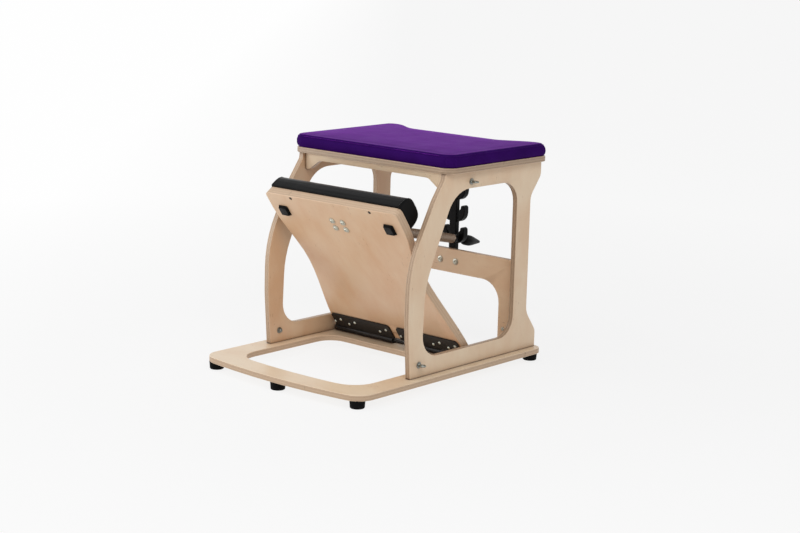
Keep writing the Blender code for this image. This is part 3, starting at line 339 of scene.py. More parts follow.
def upholstery_vinyl(name, colour, deep, shift, roughness, gloss, sheen, tint):
    """Embossed PVC upholstery vinyl.

    The eye sees a closed, faintly pebbled skin with a soft, broad gloss. The real grain is about 0.8 mm, too
    fine to show, so it is drawn at 1.6 mm. Deep is the colour in the grain's hollows, and shift moves the
    pattern so that two covers don't share it.
    """
    material, add = new_material(name)
    place = add("VectorMath ADD", {0: add("TexCoord").outputs["Object"], 1: (shift, 0, 0)})
    warp = add("TexNoise", {"Scale": 260.0, "Detail": 2.0, "Vector": place}).outputs["Color"]
    bent = add("VectorMath MULTIPLY_ADD", {0: warp, 1: (0.0012, 0.0012, 0.0012), 2: place})
    pebble = add("TexVoronoi", {"feature": "SMOOTH_F1", "Scale": 625.0, "Smoothness": 0.6, "Vector": bent})
    cloud = add("TexNoise", {"Scale": 14.0, "Detail": 4.0, "Roughness": 0.6, "Vector": place})
    shade = add("MapRange", {"From Min": 0.25, "From Max": 0.75, "To Max": 0.55, "Value": cloud})
    hollow = add("MapRange", {"From Min": 0.2, "From Max": 0.75, "To Min": 0.35, "To Max": -0.05,
                              "Value": pebble})
    shade = add("Math ADD", {0: shade, 1: hollow, "use_clamp": True})
    skin = add("Mix RGBA", {0: shade, 6: colour, 7: deep})
    rough = add("MapRange", {"To Min": roughness - 0.06, "To Max": roughness + 0.08, "Value": cloud})
    grain = add("Bump", {"Strength": 0.3, "Distance": 0.0002, "Height": pebble})
    pull = add("Bump", {"Strength": 0.25, "Distance": 0.004, "Height": cloud, "Normal": grain})
    end_material(add, {"IOR": 1.52, "Specular IOR Level": gloss, "Sheen Weight": sheen,
                       "Sheen Roughness": 0.25, "Sheen Tint": tint, "Base Color": skin, "Roughness": rough,
                       "Normal": pull})
    return material


def clouded(name, cloud, relief, dark, pale, rough, bump, shader, worn=None):
    """A skin whose colour and roughness vary in soft clouds, over a fine relief.

    Worn is the direction of a face that strikes something: that face is scuffed, so it looks greyer.
    """
    material, add = new_material(name)
    place = add("TexCoord")
    cloud = add("TexNoise", {**cloud, "Vector": place.outputs["Object"]})
    relief = add(relief[0], {**relief[1], "Vector": place.outputs["Object"]})
    colour = add("Mix RGBA", {0: cloud, 6: linear(dark), 7: linear(pale)})
    if worn:
        struck = add("VectorMath DOT_PRODUCT", {0: place.outputs["Normal"], 1: worn})
        struck = add("Math MULTIPLY", {0: struck, 1: cloud})
        scuff = add("MapRange", {"From Min": 0.3, "From Max": 0.55, "To Max": 0.8, "Value": struck})
        colour = add("Mix RGBA", {0: scuff, 6: colour, 7: linear("#3A3A3B")})
    rough = add("MapRange", {"To Min": rough[0], "To Max": rough[1], "Value": cloud})
    bump = add("Bump", {"Strength": bump[0], "Distance": bump[1], "Height": relief})
    end_material(add, {**shader, "Base Color": colour, "Roughness": rough, "Normal": bump})
    return material


def moulded_rubber(name="moulded_rubber", worn=None):
    """Black moulded rubber: a matt skin with a faint bloom and its mould's fine pits, drawn at 1.5 mm."""
    return clouded(name, {"Scale": 60.0, "Detail": 4.0}, ("TexNoise", {"Scale": 650.0, "Detail": 3.0}),
                   "#070708", "#121212", (0.58, 0.8), (0.35, 0.0002),
                   {"IOR": 1.52, "Specular IOR Level": 0.06}, worn)


def moulded_nylon():
    """Black glass-filled nylon, moulded: a dark, slightly glossy skin with fibre marks about 2 mm long."""
    return clouded("glass_filled_nylon_moulded", {"Scale": 35.0, "Detail": 3.0, "Distortion": 0.6},
                   ("TexNoise", {"Scale": 480.0, "Detail": 2.0, "Distortion": 1.5}),
                   "#070708", "#0F0F11", (0.3, 0.46), (0.2, 0.00015),
                   {"IOR": 1.53, "Specular IOR Level": 0.07})


def powder_coated_steel():
    """Black powder-coated steel: a satin skin with orange peel about 1.5 mm across."""
    return clouded("powder_coated_steel", {"Scale": 40.0, "Detail": 3.0},
                   ("TexVoronoi", {"feature": "SMOOTH_F1", "Scale": 650.0, "Smoothness": 1.0}),
                   "#141110", "#211C19", (0.4, 0.56), (0.25, 0.0002),
                   {"IOR": 1.5, "Specular IOR Level": 0.3})


def plated_steel(name, bright, dull, rough):
    """Plated steel: bright, slightly clouded metal with fine marks of its making about 0.8 mm apart."""
    return clouded(name, {"Scale": 170.0, "Detail": 4.0}, ("TexNoise", {"Scale": 1250.0, "Detail": 2.0}),
                   bright, dull, rough, (0.15, 0.0001), {"Metallic": 1.0})


ZINC, COATED, NYLON = "zinc_plated_steel", "black_coated_steel", "black_nylon"
FINISHES = {
    "black_rubber": moulded_rubber,
    NYLON: moulded_nylon,
    COATED: powder_coated_steel,
    ZINC: partial(plated_steel, ZINC, "#D9DAD0", "#B2B4A8", (0.34, 0.52)),
    # The eyebolts' zinc, drawn darker than the rest as a painted reflection of dark surroundings
    "zinc_painted_dark": partial(plated_steel, "zinc_plated_steel_painted_dark", "#A3A59F", "#666964", (0.26, 0.46)),
    "nickel_plated_wire": partial(plated_steel, "nickel_plated_wire", "#A8988A", "#7E7064", (0.3, 0.46)),
}


@cache
def finish(slot):
    """The material of one of the record's slots, made when a piece first asks for it."""
    return FINISHES[slot]()


# Shapes

def facing(direction, place):
    """A frame at place whose z axis points in a direction."""
    return Matrix.Translation(Vector(place)) @ Vector(direction).to_track_quat("Z", "Y").to_matrix().to_4x4()


def on_panel(x, y, z):
    """The row-frame point of a place given in the pedal's own axes."""
    return HINGE_AXIS + Vector((x, 0.0, 0.0)) + PANEL_OUT * y + PANEL_UP * z


def box_of(node):
    """The lowest and highest corners of a node, and its middle."""
    low, high = (Vector(corner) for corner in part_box(node))
    return low, high, (low + high) / 2


def wheel(count):
    """Level directions, evenly spaced around a full turn."""
    return [Vector((cos(2 * pi * k / count), sin(2 * pi * k / count), 0.0)) for k in range(count)]


HEX, CROSS = "hexagon", "cross"
FLUTES = 6


def ring_share(shape, turn):
    """How far out a ring reaches at one turn, as a share of its radius. A number is the depth of flutes."""
    if shape == HEX:
        return cos(pi / 6) / cos((turn + pi / 6) % (pi / 3) - pi / 6)
    if shape == CROSS:
        return 0.34 + 0.66 * max(0.0, cos(4 * turn)) ** 0.7
    return 1 - shape * (0.5 - 0.5 * cos(FLUTES * turn))


def add_skin(bm, rings, closed):
    """Joins each ring of points to the next by faces, and the last to the first if the skin is closed."""
    sides = max(len(ring) for ring in rings)
    for low, high in zip(rings, rings[1:] + rings[:1] if closed else rings[1:]):
        for k in range(sides):
            n = k + 1
            quad = [low[k % len(low)], low[n % len(low)], high[n % len(high)], high[k % len(high)]]
            bm.faces.new(list(dict.fromkeys(quad)))
    return bm


def add_turned(bm, profile, place, sides=48, closed=False):
    """Adds a turned body: profile gives (radius, height) and, where a ring isn't round, its shape."""
    rings = []
    for radius, height, *shape in profile:
        ring = []
        for k in range(sides if radius else 1):
            turn = 2 * pi * k / sides
            reach = radius * ring_share(shape[0] if shape else 0.0, turn)
            ring.append(bm.verts.new(place @ Vector((reach * cos(turn), reach * sin(turn), height))))
        rings.append(ring)
    return add_skin(bm, rings, closed)


def add_tube(bm, place, lines, radius, sides, closed=False):
    """Adds a round tube. Each line gives a centre on its path and the two directions across the path."""
    turns = [2 * pi * side / sides for side in range(sides)]
    rings = [[bm.verts.new(place @ (centre + (first * cos(t) + second * sin(t)) * radius)) for t in turns]
             for centre, first, second in lines]
    add_skin(bm, rings, closed)
    if not closed:
        bm.faces.new(rings[0][::-1])
        bm.faces.new(rings[-1])
    return bm


def linked(name, data):
    """An object in the scene, made of a mesh, a lamp or a camera."""
    made = bpy.data.objects.new(name, data)
    bpy.context.scene.collection.objects.link(made)
    return made


def new_piece(name, bm, slot, body, nodes=(), angle=32, material=None):
    """Makes a piece of a bmesh, smooth between its sharp edges, and rides it on its body."""
    bmesh.ops.recalc_face_normals(bm, faces=bm.faces)
    mesh = bpy.data.meshes.new(name)
    bm.to_mesh(mesh)
    bm.free()
    mesh.shade_smooth()
    mesh.set_sharp_from_angle(angle=radians(angle))
    mesh.materials.append(material or finish(slot))
    return settle(linked(name, mesh), body, nodes)


def settle(piece, body, nodes=()):
    """Says which body a piece rides on and the nodes that it stands for."""
    if body:
        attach(piece, body)
    if nodes:
        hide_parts(*nodes)
    return piece


def cad_shape(node):
    """A bmesh of a node's own shape, with its corners joined so that its curves can shade smoothly."""
    bm = bmesh.new()
    bm.from_mesh(frame["nodes"][node].data)
    bmesh.ops.remove_doubles(bm, verts=bm.verts, dist=0.00002)
    bmesh.ops.dissolve_limit(bm, angle_limit=radians(0.5), verts=bm.verts, edges=bm.edges)
    return bm


def finished_node(node, slot, angle=32, material=None):
    """A piece in a node's own shape, whose rounded edges and curves shade smoothly."""
    body = frame["nodes"][node]["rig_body"]
    return new_piece(node + "_finished", cad_shape(node), slot, body, [node], angle, material)


def turned_node(node, profile, place, slot, body, closed=False):
    """A turned piece that stands for a node."""
    bm = add_turned(bmesh.new(), profile, place, closed=closed)
    return new_piece(node + "_finished", bm, slot, body, [node])


def applied(piece):
    """The mesh that a piece has after its modifiers."""
    graph = bpy.context.evaluated_depsgraph_get()
    return bpy.data.meshes.new_from_object(piece.evaluated_get(graph), depsgraph=graph)


def modified(piece, kind, **settings):
    """Gives a piece a modifier and applies it."""
    modifier = piece.modifiers.new("shaped", kind)
    for key, value in settings.items():
        setattr(modifier, key, value)
    mesh = applied(piece)
    piece.modifiers.clear()
    old = piece.data
    piece.data = mesh
    bpy.data.meshes.remove(old)


def points_of(mesh, what="co"):
    """A mesh's points as an array, or their normals."""
    found = np.empty(len(mesh.vertices) * 3)
    mesh.vertices.foreach_get(what, found)
    return found.reshape(-1, 3)


def move_points(mesh, points):
    """Moves a mesh's points."""
    mesh.vertices.foreach_set("co", points.ravel())
    mesh.update()


def swollen(piece, held, most):
    """Lets the filling push a cover out: held is the share by which each point stays put, most is the cap."""
    start = points_of(piece.data)
    group = piece.vertex_groups.new(name="held")
    for k in np.nonzero(held > 0.01)[0]:
        group.add([int(k)], float(held[k]), "REPLACE")
    cloth = piece.modifiers.new("cover", "CLOTH").settings
    for key, value in COVER_CLOTH.items():
        setattr(cloth, key, value)
    cloth.vertex_group_mass = group.name
    cloth.effector_weights.gravity = 0
    scene = bpy.context.scene
    for number in range(1, COVER_FRAMES + 1):
        scene.frame_set(number)
    mesh = applied(piece)
    moved = points_of(mesh) - start
    bpy.data.meshes.remove(mesh)
    piece.modifiers.clear()
    piece.vertex_groups.clear()
    scene.frame_set(1)
    length = np.linalg.norm(moved, axis=1)
    # The cap bends in gently, so no edge shows where it starts
    kept = most * np.tanh(length / most)
    move_points(piece.data, start + moved * (kept / np.maximum(length, 1e-9))[:, None])


def filled(piece, node, rounds):
    """Makes a cover finer, pushes it out to its node's shape where it lies inside, and eases the creases."""
    modified(piece, "SUBSURF", levels=1)
    shape = cad_shape(node)
    cut = BVHTree.FromBMesh(shape)
    shape.free()
    points = points_of(piece.data)
    for k, point in enumerate(points):
        place, normal, face, gap = cut.find_nearest(Vector(point))
        if (Vector(point) - place).dot(normal) < 0:
            points[k] = place
    move_points(piece.data, points)
    bm = bmesh.new()
    bm.from_mesh(piece.data)
    for k in range(rounds):
        bmesh.ops.smooth_vert(bm, verts=bm.verts, factor=0.5, use_axis_x=True, use_axis_y=True,
                              use_axis_z=True)
    bm.to_mesh(piece.data)
    bm.free()


def smooth_step(low, high, values):
    """A smooth step of an array between two values."""
    t = np.clip((values - low) / (high - low), 0, 1)
    return t * t * (3 - 2 * t)


# Plywood

# Each sheet's node, its normal, its grain, how warm its veneer is, how bright and how clear its edges are,
# and how light its veneer is. Warmth, edge brightness and lightness are partly each sheet's own tone, for no
# two sheets are cut from the same log, and partly painted light. The arch and the front rail, which sit in
# shade, are drawn lighter and the left frame darker. The seat board's edges are drawn darker as a painted
# shadow of the seat, and the shaded inner faces warmer as painted bounce light between wood faces
SHEETS = (
    ("base_plate", (0, 0, 1), (1, 0, 0), 0.06, (0.9, 0.55), 1.0),
    ("seat_board", (0, 0, 1), (1, 0, 0), 0.36, (0.66, 1.0), 1.0),
    ("left_side_frame", (1, 0, 0), (0, 0, 1), 0.62, (0.83, 0.9), 0.96),
    ("right_side_frame", (1, 0, 0), (0, 0, 1), 0.34, (0.78, 1.25), 1.0),
    ("front_seat_rail", (0, 1, 0), (1, 0, 0), 0.12, (0.98, 0.9), 1.25),
    ("rear_seat_rail", (0, 1, 0), (1, 0, 0), 0.45, (0.92, 0.9), 1.0),
    ("rear_arch", (0, 1, 0), (1, 0, 0), 0.46, (0.92, 0.9), 1.15),
)
# The panel's veneer is drawn warmest at its foot and pales towards its head: painted warm bounce light,
# standing in for the light that the base throws back onto the panel's foot
PANEL_WARMTH = 1.0
PANEL_DRIFT = -0.72
PANEL_EDGE = (0.92, 0.5)
PANEL_SEED = 61.7


def make_plywood(looks):
    """Every plywood sheet in its own shape, with its own grain."""
    for number, (node, across, along, warmth, edge, light) in enumerate(SHEETS):
        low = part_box(node)[0][across.index(1)]
        material = birch_plywood("birch_plywood_" + node, across, along, low, PLY, looks.ply_count, looks,
                                 3.1 + 7.3 * number, warmth, edge, light)
        finished_node(node, "birch_ply", material=material)
    low = on_panel(0, PANEL_FRONT, 0).dot(PANEL_OUT)
    warmth = PANEL_WARMTH - PANEL_DRIFT * HINGE_AXIS.dot(PANEL_UP)
    material = birch_plywood("birch_plywood_pedal_panel", PANEL_OUT, PANEL_UP, low, PANEL_THICKNESS,
                             looks.panel_plies, looks, PANEL_SEED, warmth, PANEL_EDGE, drift=PANEL_DRIFT)
    finished_node("pedal_panel", "birch_ply", material=material)


# Upholstery

def skin_of(mesh, turn=Matrix()):
    """A mesh's faces, as seen in a turned frame, for finding where a ray meets them."""
    return BVHTree.FromPolygons([turn @ v.co for v in mesh.vertices], [f.vertices[:] for f in mesh.polygons])


def level_path(mesh, centre, count=360):
    """The closed path where the level plane through a point inside a cover meets it."""
    cover = skin_of(mesh)
    path = [cover.ray_cast(centre, way)[0] for way in wheel(count)]
    return [(path[k - 1] + path[k] * 2 + path[(k + 1) % count]) / 4 for k in range(count)]


def distances(points, path):
    """How far each point is from a path of points."""
    tree = KDTree(len(path))
    for k, point in enumerate(path):
        tree.insert(point, k)
    tree.balance()
    return np.array([tree.find(point)[2] for point in points])


def make_seat(looks):
    """The seat cushion: foam under vinyl, sewn below its upper edge, with small pleats at its corners."""
    colour = looks.seat_vinyl
    material = upholstery_vinyl("embossed_vinyl_purple", colour, shaded(colour, 0.55), 0.0, 0.36, 0.004, 0.73,
                                linear(SEAT_SHEEN))
    piece = new_piece("seat_cushion_cover", cad_shape("seat_cushion"), "purple_vinyl", None,
                      material=material)
    low, high, centre = box_of("seat_cushion")
    modified(piece, "REMESH", mode="VOXEL", voxel_size=0.0045)
    # The cover starts a millimetre low and swells to its full height
    points = points_of(piece.data)
    points[:, 2] = low.z + (points[:, 2] - low.z) * (1 - 0.001 / (high.z - low.z))
    move_points(piece.data, points)
    path = level_path(piece.data, Vector((centre.x, centre.y, low.z + SEAT_WELT)))
    # The board holds the cover's tucked edge, and the cord in its seam holds it a little
    tucked = 1 - smooth_step(low.z + 0.002, low.z + 0.007, points[:, 2])
    corded = 0.75 * (1 - smooth_step(0.003, 0.011, distances(points, path)))
    swollen(piece, np.maximum(tucked, corded), looks.seat_swell)
    filled(piece, "seat_cushion", 2)
    # Level rings of edges draw the seam's fold as a clean line
    bm = bmesh.new()
    bm.from_mesh(piece.data)
    for step in range(-3, 4):
        bmesh.ops.bisect_plane(bm, geom=bm.verts[:] + bm.edges[:] + bm.faces[:], dist=0.00001,
                               plane_co=(0, 0, low.z + SEAT_SEAM + 0.0007 * step), plane_no=(0, 0, 1))
    refine_corners(bm, low, high)
    bmesh.ops.triangulate(bm, faces=[face for face in bm.faces if len(face.verts) > 4])
    bm.to_mesh(piece.data)
    bm.free()
    points, normals = points_of(piece.data), points_of(piece.data, "normal")
    side = np.linalg.norm(normals[:, :2], axis=1)
    fold = np.exp(-((points[:, 2] - low.z - SEAT_SEAM) / 0.0012) ** 2) * smooth_step(0.25, 0.6, side)
    move_points(piece.data, points - normals * (0.0011 * fold)[:, None])
    add_pleats(piece, low, high, centre)
    piece.data.shade_smooth()
    settle(piece, "root", ["seat_cushion"])
    path = level_path(piece.data, Vector((centre.x, centre.y, low.z + SEAT_WELT)))
    add_welt("seat_welt", path, UP, Matrix(), True, material, "root", "purple_vinyl")


def refine_corners(bm, low, high):
    """Finer faces around the cover's corners, where its pleats are."""
    near = [edge for edge in bm.edges if all(
        min(v.co.x - low.x, high.x - v.co.x) < 0.046 and min(v.co.y - low.y, high.y - v.co.y) < 0.046
        and v.co.z > low.z + 0.003 for v in edge.verts)]
    bmesh.ops.subdivide_edges(bm, edges=near, cuts=1, use_grid_fill=True)


def add_pleats(piece, low, high, centre):
    """Pleats: where the vinyl turns a corner it gathers into two upright folds below the seam."""
    points, normals = points_of(piece.data), points_of(piece.data, "normal")
    normals[:, 2] = 0
    height = points[:, 2] - low.z
    fade = smooth_step(0.001, 0.006, height) * (1 - smooth_step(SEAT_WELT - 0.006, SEAT_WELT - 0.001, height))
    half = high - centre
    for x, y, inset in ((-1, -1, 0.038), (1, -1, 0.038), (-1, 1, 0.025), (1, 1, 0.025)):
        corner = np.array((centre.x + x * (half.x - inset), centre.y + y * (half.y - inset)))
        away = points[:, :2] - corner
        turn = np.arctan2(away[:, 1] * y, away[:, 0] * x)
        outside = smooth_step(inset - 0.014, inset - 0.006, np.linalg.norm(away, axis=1))
        for fold, tall in ((radians(57), 1.0), (radians(16), 0.7)):
            along = (turn - fold) * inset
            shape = np.exp(-(along / 0.0024) ** 2) - 0.9 * np.exp(-((along - 0.0052) / 0.0028) ** 2)
            points += normals * (0.0017 * tall * shape * outside * fade)[:, None]
    move_points(piece.data, points)


def add_welt(name, path, across, place, closed, material, body, slot):
    """A welt: a cord sewn into a seam, half sunk in the cover. Across is at right angles to its path."""
    lines, last = [], len(path) - 1
    for k, point in enumerate(path):
        if closed:
            ahead = path[(k + 1) % len(path)] - path[k - 1]
        else:
            ahead = path[min(k + 1, last)] - path[max(k - 1, 0)]
        lines.append((point, across, ahead.cross(across).normalized()))
    bm = add_tube(bmesh.new(), place, lines, WELT_RADIUS, 8, closed)
    new_piece(name, bm, slot, body, angle=60, material=material)


def make_pad(looks):
    """The bolster on the pedal: a rounded foam bar with a flat back and flat, sewn ends."""
    colour = looks.pad_vinyl
    material = upholstery_vinyl("embossed_vinyl_black", colour, shaded(colour, 0.5), 5.0, 0.34, 0.055, 0.8,
                                linear(PAD_SHEEN))
    piece = new_piece("pedal_pad_cover", cad_shape("pedal_pad"), "black_vinyl", None, material=material)
    inward = PANEL_AXES.inverted()
    local = np.array([inward @ Vector(p) for p in points_of(piece.data)])
    low, high = local.min(axis=0), local.max(axis=0)
    middle = (low + high) / 2
    # The cover starts a little lean and swells to its full size
    local[:, 1] = low[1] + (local[:, 1] - low[1]) * (1 - 0.0015 / (high[1] - low[1]))
    local[:, 2] = middle[2] + (local[:, 2] - middle[2]) * (1 - 0.0012 / (high[2] - middle[2]))
    move_points(piece.data, np.array([PANEL_AXES @ Vector(p) for p in local]))
    modified(piece, "REMESH", mode="VOXEL", voxel_size=0.004)
    # The panel holds its flat back, and the sewn end panels hold its ends
    local = np.array([inward @ Vector(p) for p in points_of(piece.data)])
    back = 1 - smooth_step(low[1] + 0.001, low[1] + 0.005, local[:, 1])
    ends = smooth_step(high[0] - 0.006, high[0] - 0.003, np.abs(local[:, 0])) * 0.8
    swollen(piece, np.maximum(back, ends), looks.pad_swell)
    filled(piece, "pedal_pad", 1)
    piece.data.shade_smooth()
    settle(piece, "pedal", ["pedal_pad"])
    add_pad_welts(piece.data, low, high, material)


def add_pad_welts(mesh, low, high, material):
    """The welts that join the end panels to the bolster's cover."""
    cover = skin_of(mesh, PANEL_AXES.inverted())
    count = 96
    turns = [pi * k / (count - 1) for k in range(count)]
    for side, name in ((-1, "left_pad_welt"), (1, "right_pad_welt")):
        centre = Vector((side * (high[0] - 0.004), low[1] + 0.0025, (low[2] + high[2]) / 2))
        path = [cover.ray_cast(centre, Vector((0.0, sin(t), cos(t))))[0] for t in turns]
        add_welt(name, path, Vector((1, 0, 0)), PANEL_AXES, False, material, "pedal", "black_vinyl")


# Hardware

def mm(*profile):
    """A profile given in millimetres."""
    return [(radius / 1000, height / 1000, *shape) for radius, height, *shape in profile]


def thread(radius, start, end, pitch=0.001):
    """The profile of a threaded end, from start to end along its axis."""
    found = []
    count = max(1, int(abs(end - start) / pitch))
    step = (end - start) / count
    for k in range(count):
        found += [(radius, start + step * k), (radius - 0.00045, start + step * (k + 0.5))]
    return found + [(radius - 0.0003, end)]


def bolt_profile(reach):
    """A button-head bolt with a hexagon socket and its washer, tight on the face where its height is 0."""
    head = mm((0, -2.6), (2.9, -2.6, HEX), (2.9, -4.9, HEX), (3.7, -5.1), (4.6, -4.7), (5.2, -3.9),
              (5.5, -2.9), (5.5, -2), (8.3, -2), (8.8, -1.8), (9, -1.3))
    head += [(0.009, -GAP), (0.003, -GAP), (0.003, reach - 0.007)]
    return head + thread(0.003, reach - 0.007, reach - 0.0005) + [(0.0, reach)]


NUT = mm((3.9, 0), (5.6, 0), (6.4, 0.5, HEX), (6.4, 4.5, HEX), (5.6, 5), (3.9, 5))


def screw_profile(radius, height, shank, reach):
    """A pan-head screw with a cross recess; its head stands out from height 0."""
    head = [(radius * out, -height * up, *shape) for out, up, *shape in (
        (0, 0.35), (0.22, 0.35, CROSS), (0.55, 0.97, CROSS), (0.62, 1), (0.8, 0.9), (0.94, 0.66), (1, 0.35))]
    return head + [(radius, 0.0), (shank, 0.0), (shank, reach - 0.002), (0.0, reach)]


def add_bolts():
    """The bolts, washers and nuts that hold the tree, the bracket and the pad."""
    for side, name in ((-1, "left"), (1, "right")):
        node = name + "_tree_bolt"
        low, high, middle = box_of(node)
        # The bolt's box starts at its head, which stands 6 mm out with its washer
        start = facing((0, 1, 0), (middle.x, low.y + 0.006, middle.z))
        turned_node(node, bolt_profile(high.y - low.y - 0.006), start, ZINC, "root")
        start = facing((0, 1, 0), (middle.x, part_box(name + "_tree_nut")[0][1], middle.z))
        turned_node(name + "_tree_nut", NUT, start, ZINC, "root", closed=True)
        through = PANEL_THICKNESS + GAP + BRACKET_SHEET
        for kind, z, reach in (("_bracket_bolt", BRACKET_BOLT_Z, through + 0.0085),
                               ("_pad_bolt", PAD_BOLT_Z, 0.0225)):
            start = facing(PANEL_OUT, on_panel(side * BOLT_X, PANEL_FRONT, z))
            turned_node(name + kind, bolt_profile(reach), start, ZINC, "pedal")
        start = facing(PANEL_OUT, on_panel(side * BOLT_X, PANEL_FRONT + through + GAP, BRACKET_BOLT_Z))
        turned_node(name + "_bracket_nut", NUT, start, ZINC, "pedal", closed=True)


def add_pins_and_caps():
    """The clevis pins, the sunk screws of the pad, and the caps of the arch."""
    for name in ("left", "right"):
        finished_node(name + "_bracket_pin", ZINC, 50)
        finished_node(name + "_pad_screw", COATED, 50)
        node = name + "_arch_cap"
        low, high, middle = box_of(node)
        tall = high.y - low.y
        cap = [(0.0, -tall * 0.4), (0.0017, -tall * 0.4, HEX), (0.0017, -tall, HEX), (0.0042, -tall),
               (0.0052, -tall * 0.6), (0.0055, -tall * 0.3), (0.0055, 0.0), (0.0, 0.0)]
        turned_node(node, cap, facing((0, 1, 0), (middle.x, high.y, middle.z)), ZINC, "root")


def add_eyebolts():
    """The eyebolts on the side frames, each with its washers, and a nut on its inner end."""
    # The eyebolts' zinc is drawn darker than the bolts': a painted reflection of dark surroundings
    dull = finish("zinc_painted_dark")
    shank = [(0.0, -PLY - 0.009), (0.0024, -PLY - 0.0088)] + thread(0.003, -PLY - 0.0085, -PLY - 0.0005)
    shank += [(0.003, GAP), (0.008, GAP)]
    shank += mm((8.5, 0.6), (8.5, 1.4), (8, 1.8), (4.8, 1.8), (4.8, 3), (3.8, 4.2), (3.4, 8.5), (0, 8.8))
    washer = mm((3.2, 0), (8, 0), (8.5, 0.4), (8.5, 1), (8, 1.3), (3.2, 1.3))
    for side, name in ((-1, "left"), (1, "right")):
        for level in ("lower", "upper"):
            node = "_".join((name, level, "eyebolt"))
            middle = box_of(node)[2]
            face = side * abs(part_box(name + "_side_frame")[0 if side < 0 else 1][0])
            start = facing((side, 0, 0), (face, middle.y, middle.z))
            bm = add_turned(bmesh.new(), shank, start)
            eye = start @ Matrix.Translation((0, 0, 0.014)) @ Matrix.Rotation(pi / 2, 4, "X")
            add_tube(bm, eye, [(way * 0.0068, way, UP) for way in wheel(48)], 0.0026, 16, True)
            new_piece(node + "_finished", bm, ZINC, "root", [node], material=dull)
            inner = facing((-side, 0, 0), (face - side * (PLY + GAP), middle.y, middle.z))
            bm = add_turned(bmesh.new(), washer, inner, closed=True)
            add_turned(bm, [(r, h + 0.0015, *s) for r, h, *s in NUT], inner, closed=True)
            new_piece(node + "_nut", bm, ZINC, "root", material=dull)


def add_feet():
    """Rubber feet with a steel washer and a screw in each one's hollow, and the rubber stops of the pedal."""
    washer = mm((2.8, -1.2), (7.4, -1.2), (7.8, -0.8), (7.8, 0), (2.8, 0))
    for name in ("front_left", "front_middle", "front_right", "rear_left", "rear_right"):
        name += "_foot"
        low, high, middle = box_of(name)
        tall = high.z - low.z
        profile = mm((2.6, 9), (8.5, 9), (8.5, 0.8), (9.2, 0), (16.8, 0), (18.1, 0.4), (19.1, 1.3),
                     (19.6, 2.6))
        profile += [(0.021, tall - 0.0008), (0.0207, tall - 0.0002), (0.0202, tall), (0.0026, tall)]
        foot = Vector((middle.x, middle.y, low.z))
        turned_node(name, profile, facing(UP, foot), "black_rubber", "root", closed=True)
        bm = add_turned(bmesh.new(), washer, facing(UP, foot + UP * 0.0086), closed=True)
        add_turned(bm, screw_profile(0.0042, 0.0028, 0.002, 0.018), facing(UP, foot + UP * 0.0073))
        new_piece(name + "_screw", bm, ZINC, "root")
    scuffed = moulded_rubber("moulded_rubber_scuffed", tuple(-PANEL_OUT))
    for name in ("left_bumper", "right_bumper"):
        finished_node(name, "black_rubber", 30, scuffed)


def add_hinge():
    """The hinge: two coated plates on the panel, a leaf on the base, the pin and every screw."""
    for name in ("left_hinge_plate", "right_hinge_plate", "base_hinge_leaf"):
        finished_node(name, COATED, 40)
    low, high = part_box("hinge_pin")
    end = mm((0, 0), (2.2, 0.3), (2.9, 1.2), (3, 2.2))
    pin = end + [(radius, high[0] - low[0] - height) for radius, height in reversed(end)]
    turned_node("hinge_pin", pin, facing((1, 0, 0), (low[0], HINGE_AXIS.y, HINGE_AXIS.z)),
                COATED, frame["nodes"]["hinge_pin"]["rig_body"])
    number = 0
    for first, count in SCREW_STARTS:
        for k in range(count):
            number += 1
            place = on_panel(first + SCREW_PITCH * k, -HINGE_SHEET / 2 - GAP, SCREW_ROWS[k % 2])
            place = facing(PANEL_OUT, place) @ Matrix.Rotation(number * 1.3, 4, "Z")
            turned_node("hinge_screw_%d" % number, screw_profile(0.0044, 0.0024, 0.002, 0.014), place,
                        ZINC, "pedal")


def add_tree():
    """The moulded spring tree: its edges are rounded as a mould leaves them."""
    piece = new_piece("spring_tree_moulded", cad_shape("spring_tree"), NYLON, None)
    modified(piece, "REMESH", mode="VOXEL", voxel_size=0.0011)
    modified(piece, "SMOOTH", factor=0.5, iterations=8)
    piece.data.shade_smooth()
    settle(piece, "root", ["spring_tree"])


def add_spring(looks):
    """The close-wound extension spring with its plugs, eye and handle."""
    turns = int((COIL_END - COIL_START - looks.wire) / (looks.wire * 1.03))
    radius = SPRING_RADIUS - looks.wire / 2
    axes = facing(SPRING_AXIS, SPRING_HOOK)
    ways = wheel(20)
    count = turns * len(ways)
    first = COIL_START + looks.wire / 2
    length = COIL_END - looks.wire - COIL_START
    lines = []
    for k in range(count + 1):
        way = ways[k % len(ways)]
        lines.append((way * radius + UP * (first + length * k / count), way, UP))
    bm = add_tube(bmesh.new(), axes, lines, looks.wire / 2, 6)
    coil = new_piece("spring_coil_wound", bm, "nickel_plated_wire", None, ["spring_coil"], angle=80)
    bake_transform(coil)
    # Plugs: turned nylon ends that the coil is wound on
    rear = mm((0, 16), (7, 16), (9.5, 17.5), (12, 20), (13.4, 22.2), (13.7, 24), (13.7, 30), (0, 30))
    turned_node("spring_rear_plug", rear, axes, NYLON, "spring_tail")
    front = mm((0, 0), (13.7, 0), (13.7, 4.5), (13, 6.5), (10.5, 10), (8, 12), (0, 12))
    start = axes @ Matrix.Translation(UP * (SPRING_LENGTH - 0.034))
    turned_node("spring_front_plug", front, start, NYLON, "spring_head")
    finished_node("spring_eye", ZINC, 40)
    add_knob(axes)


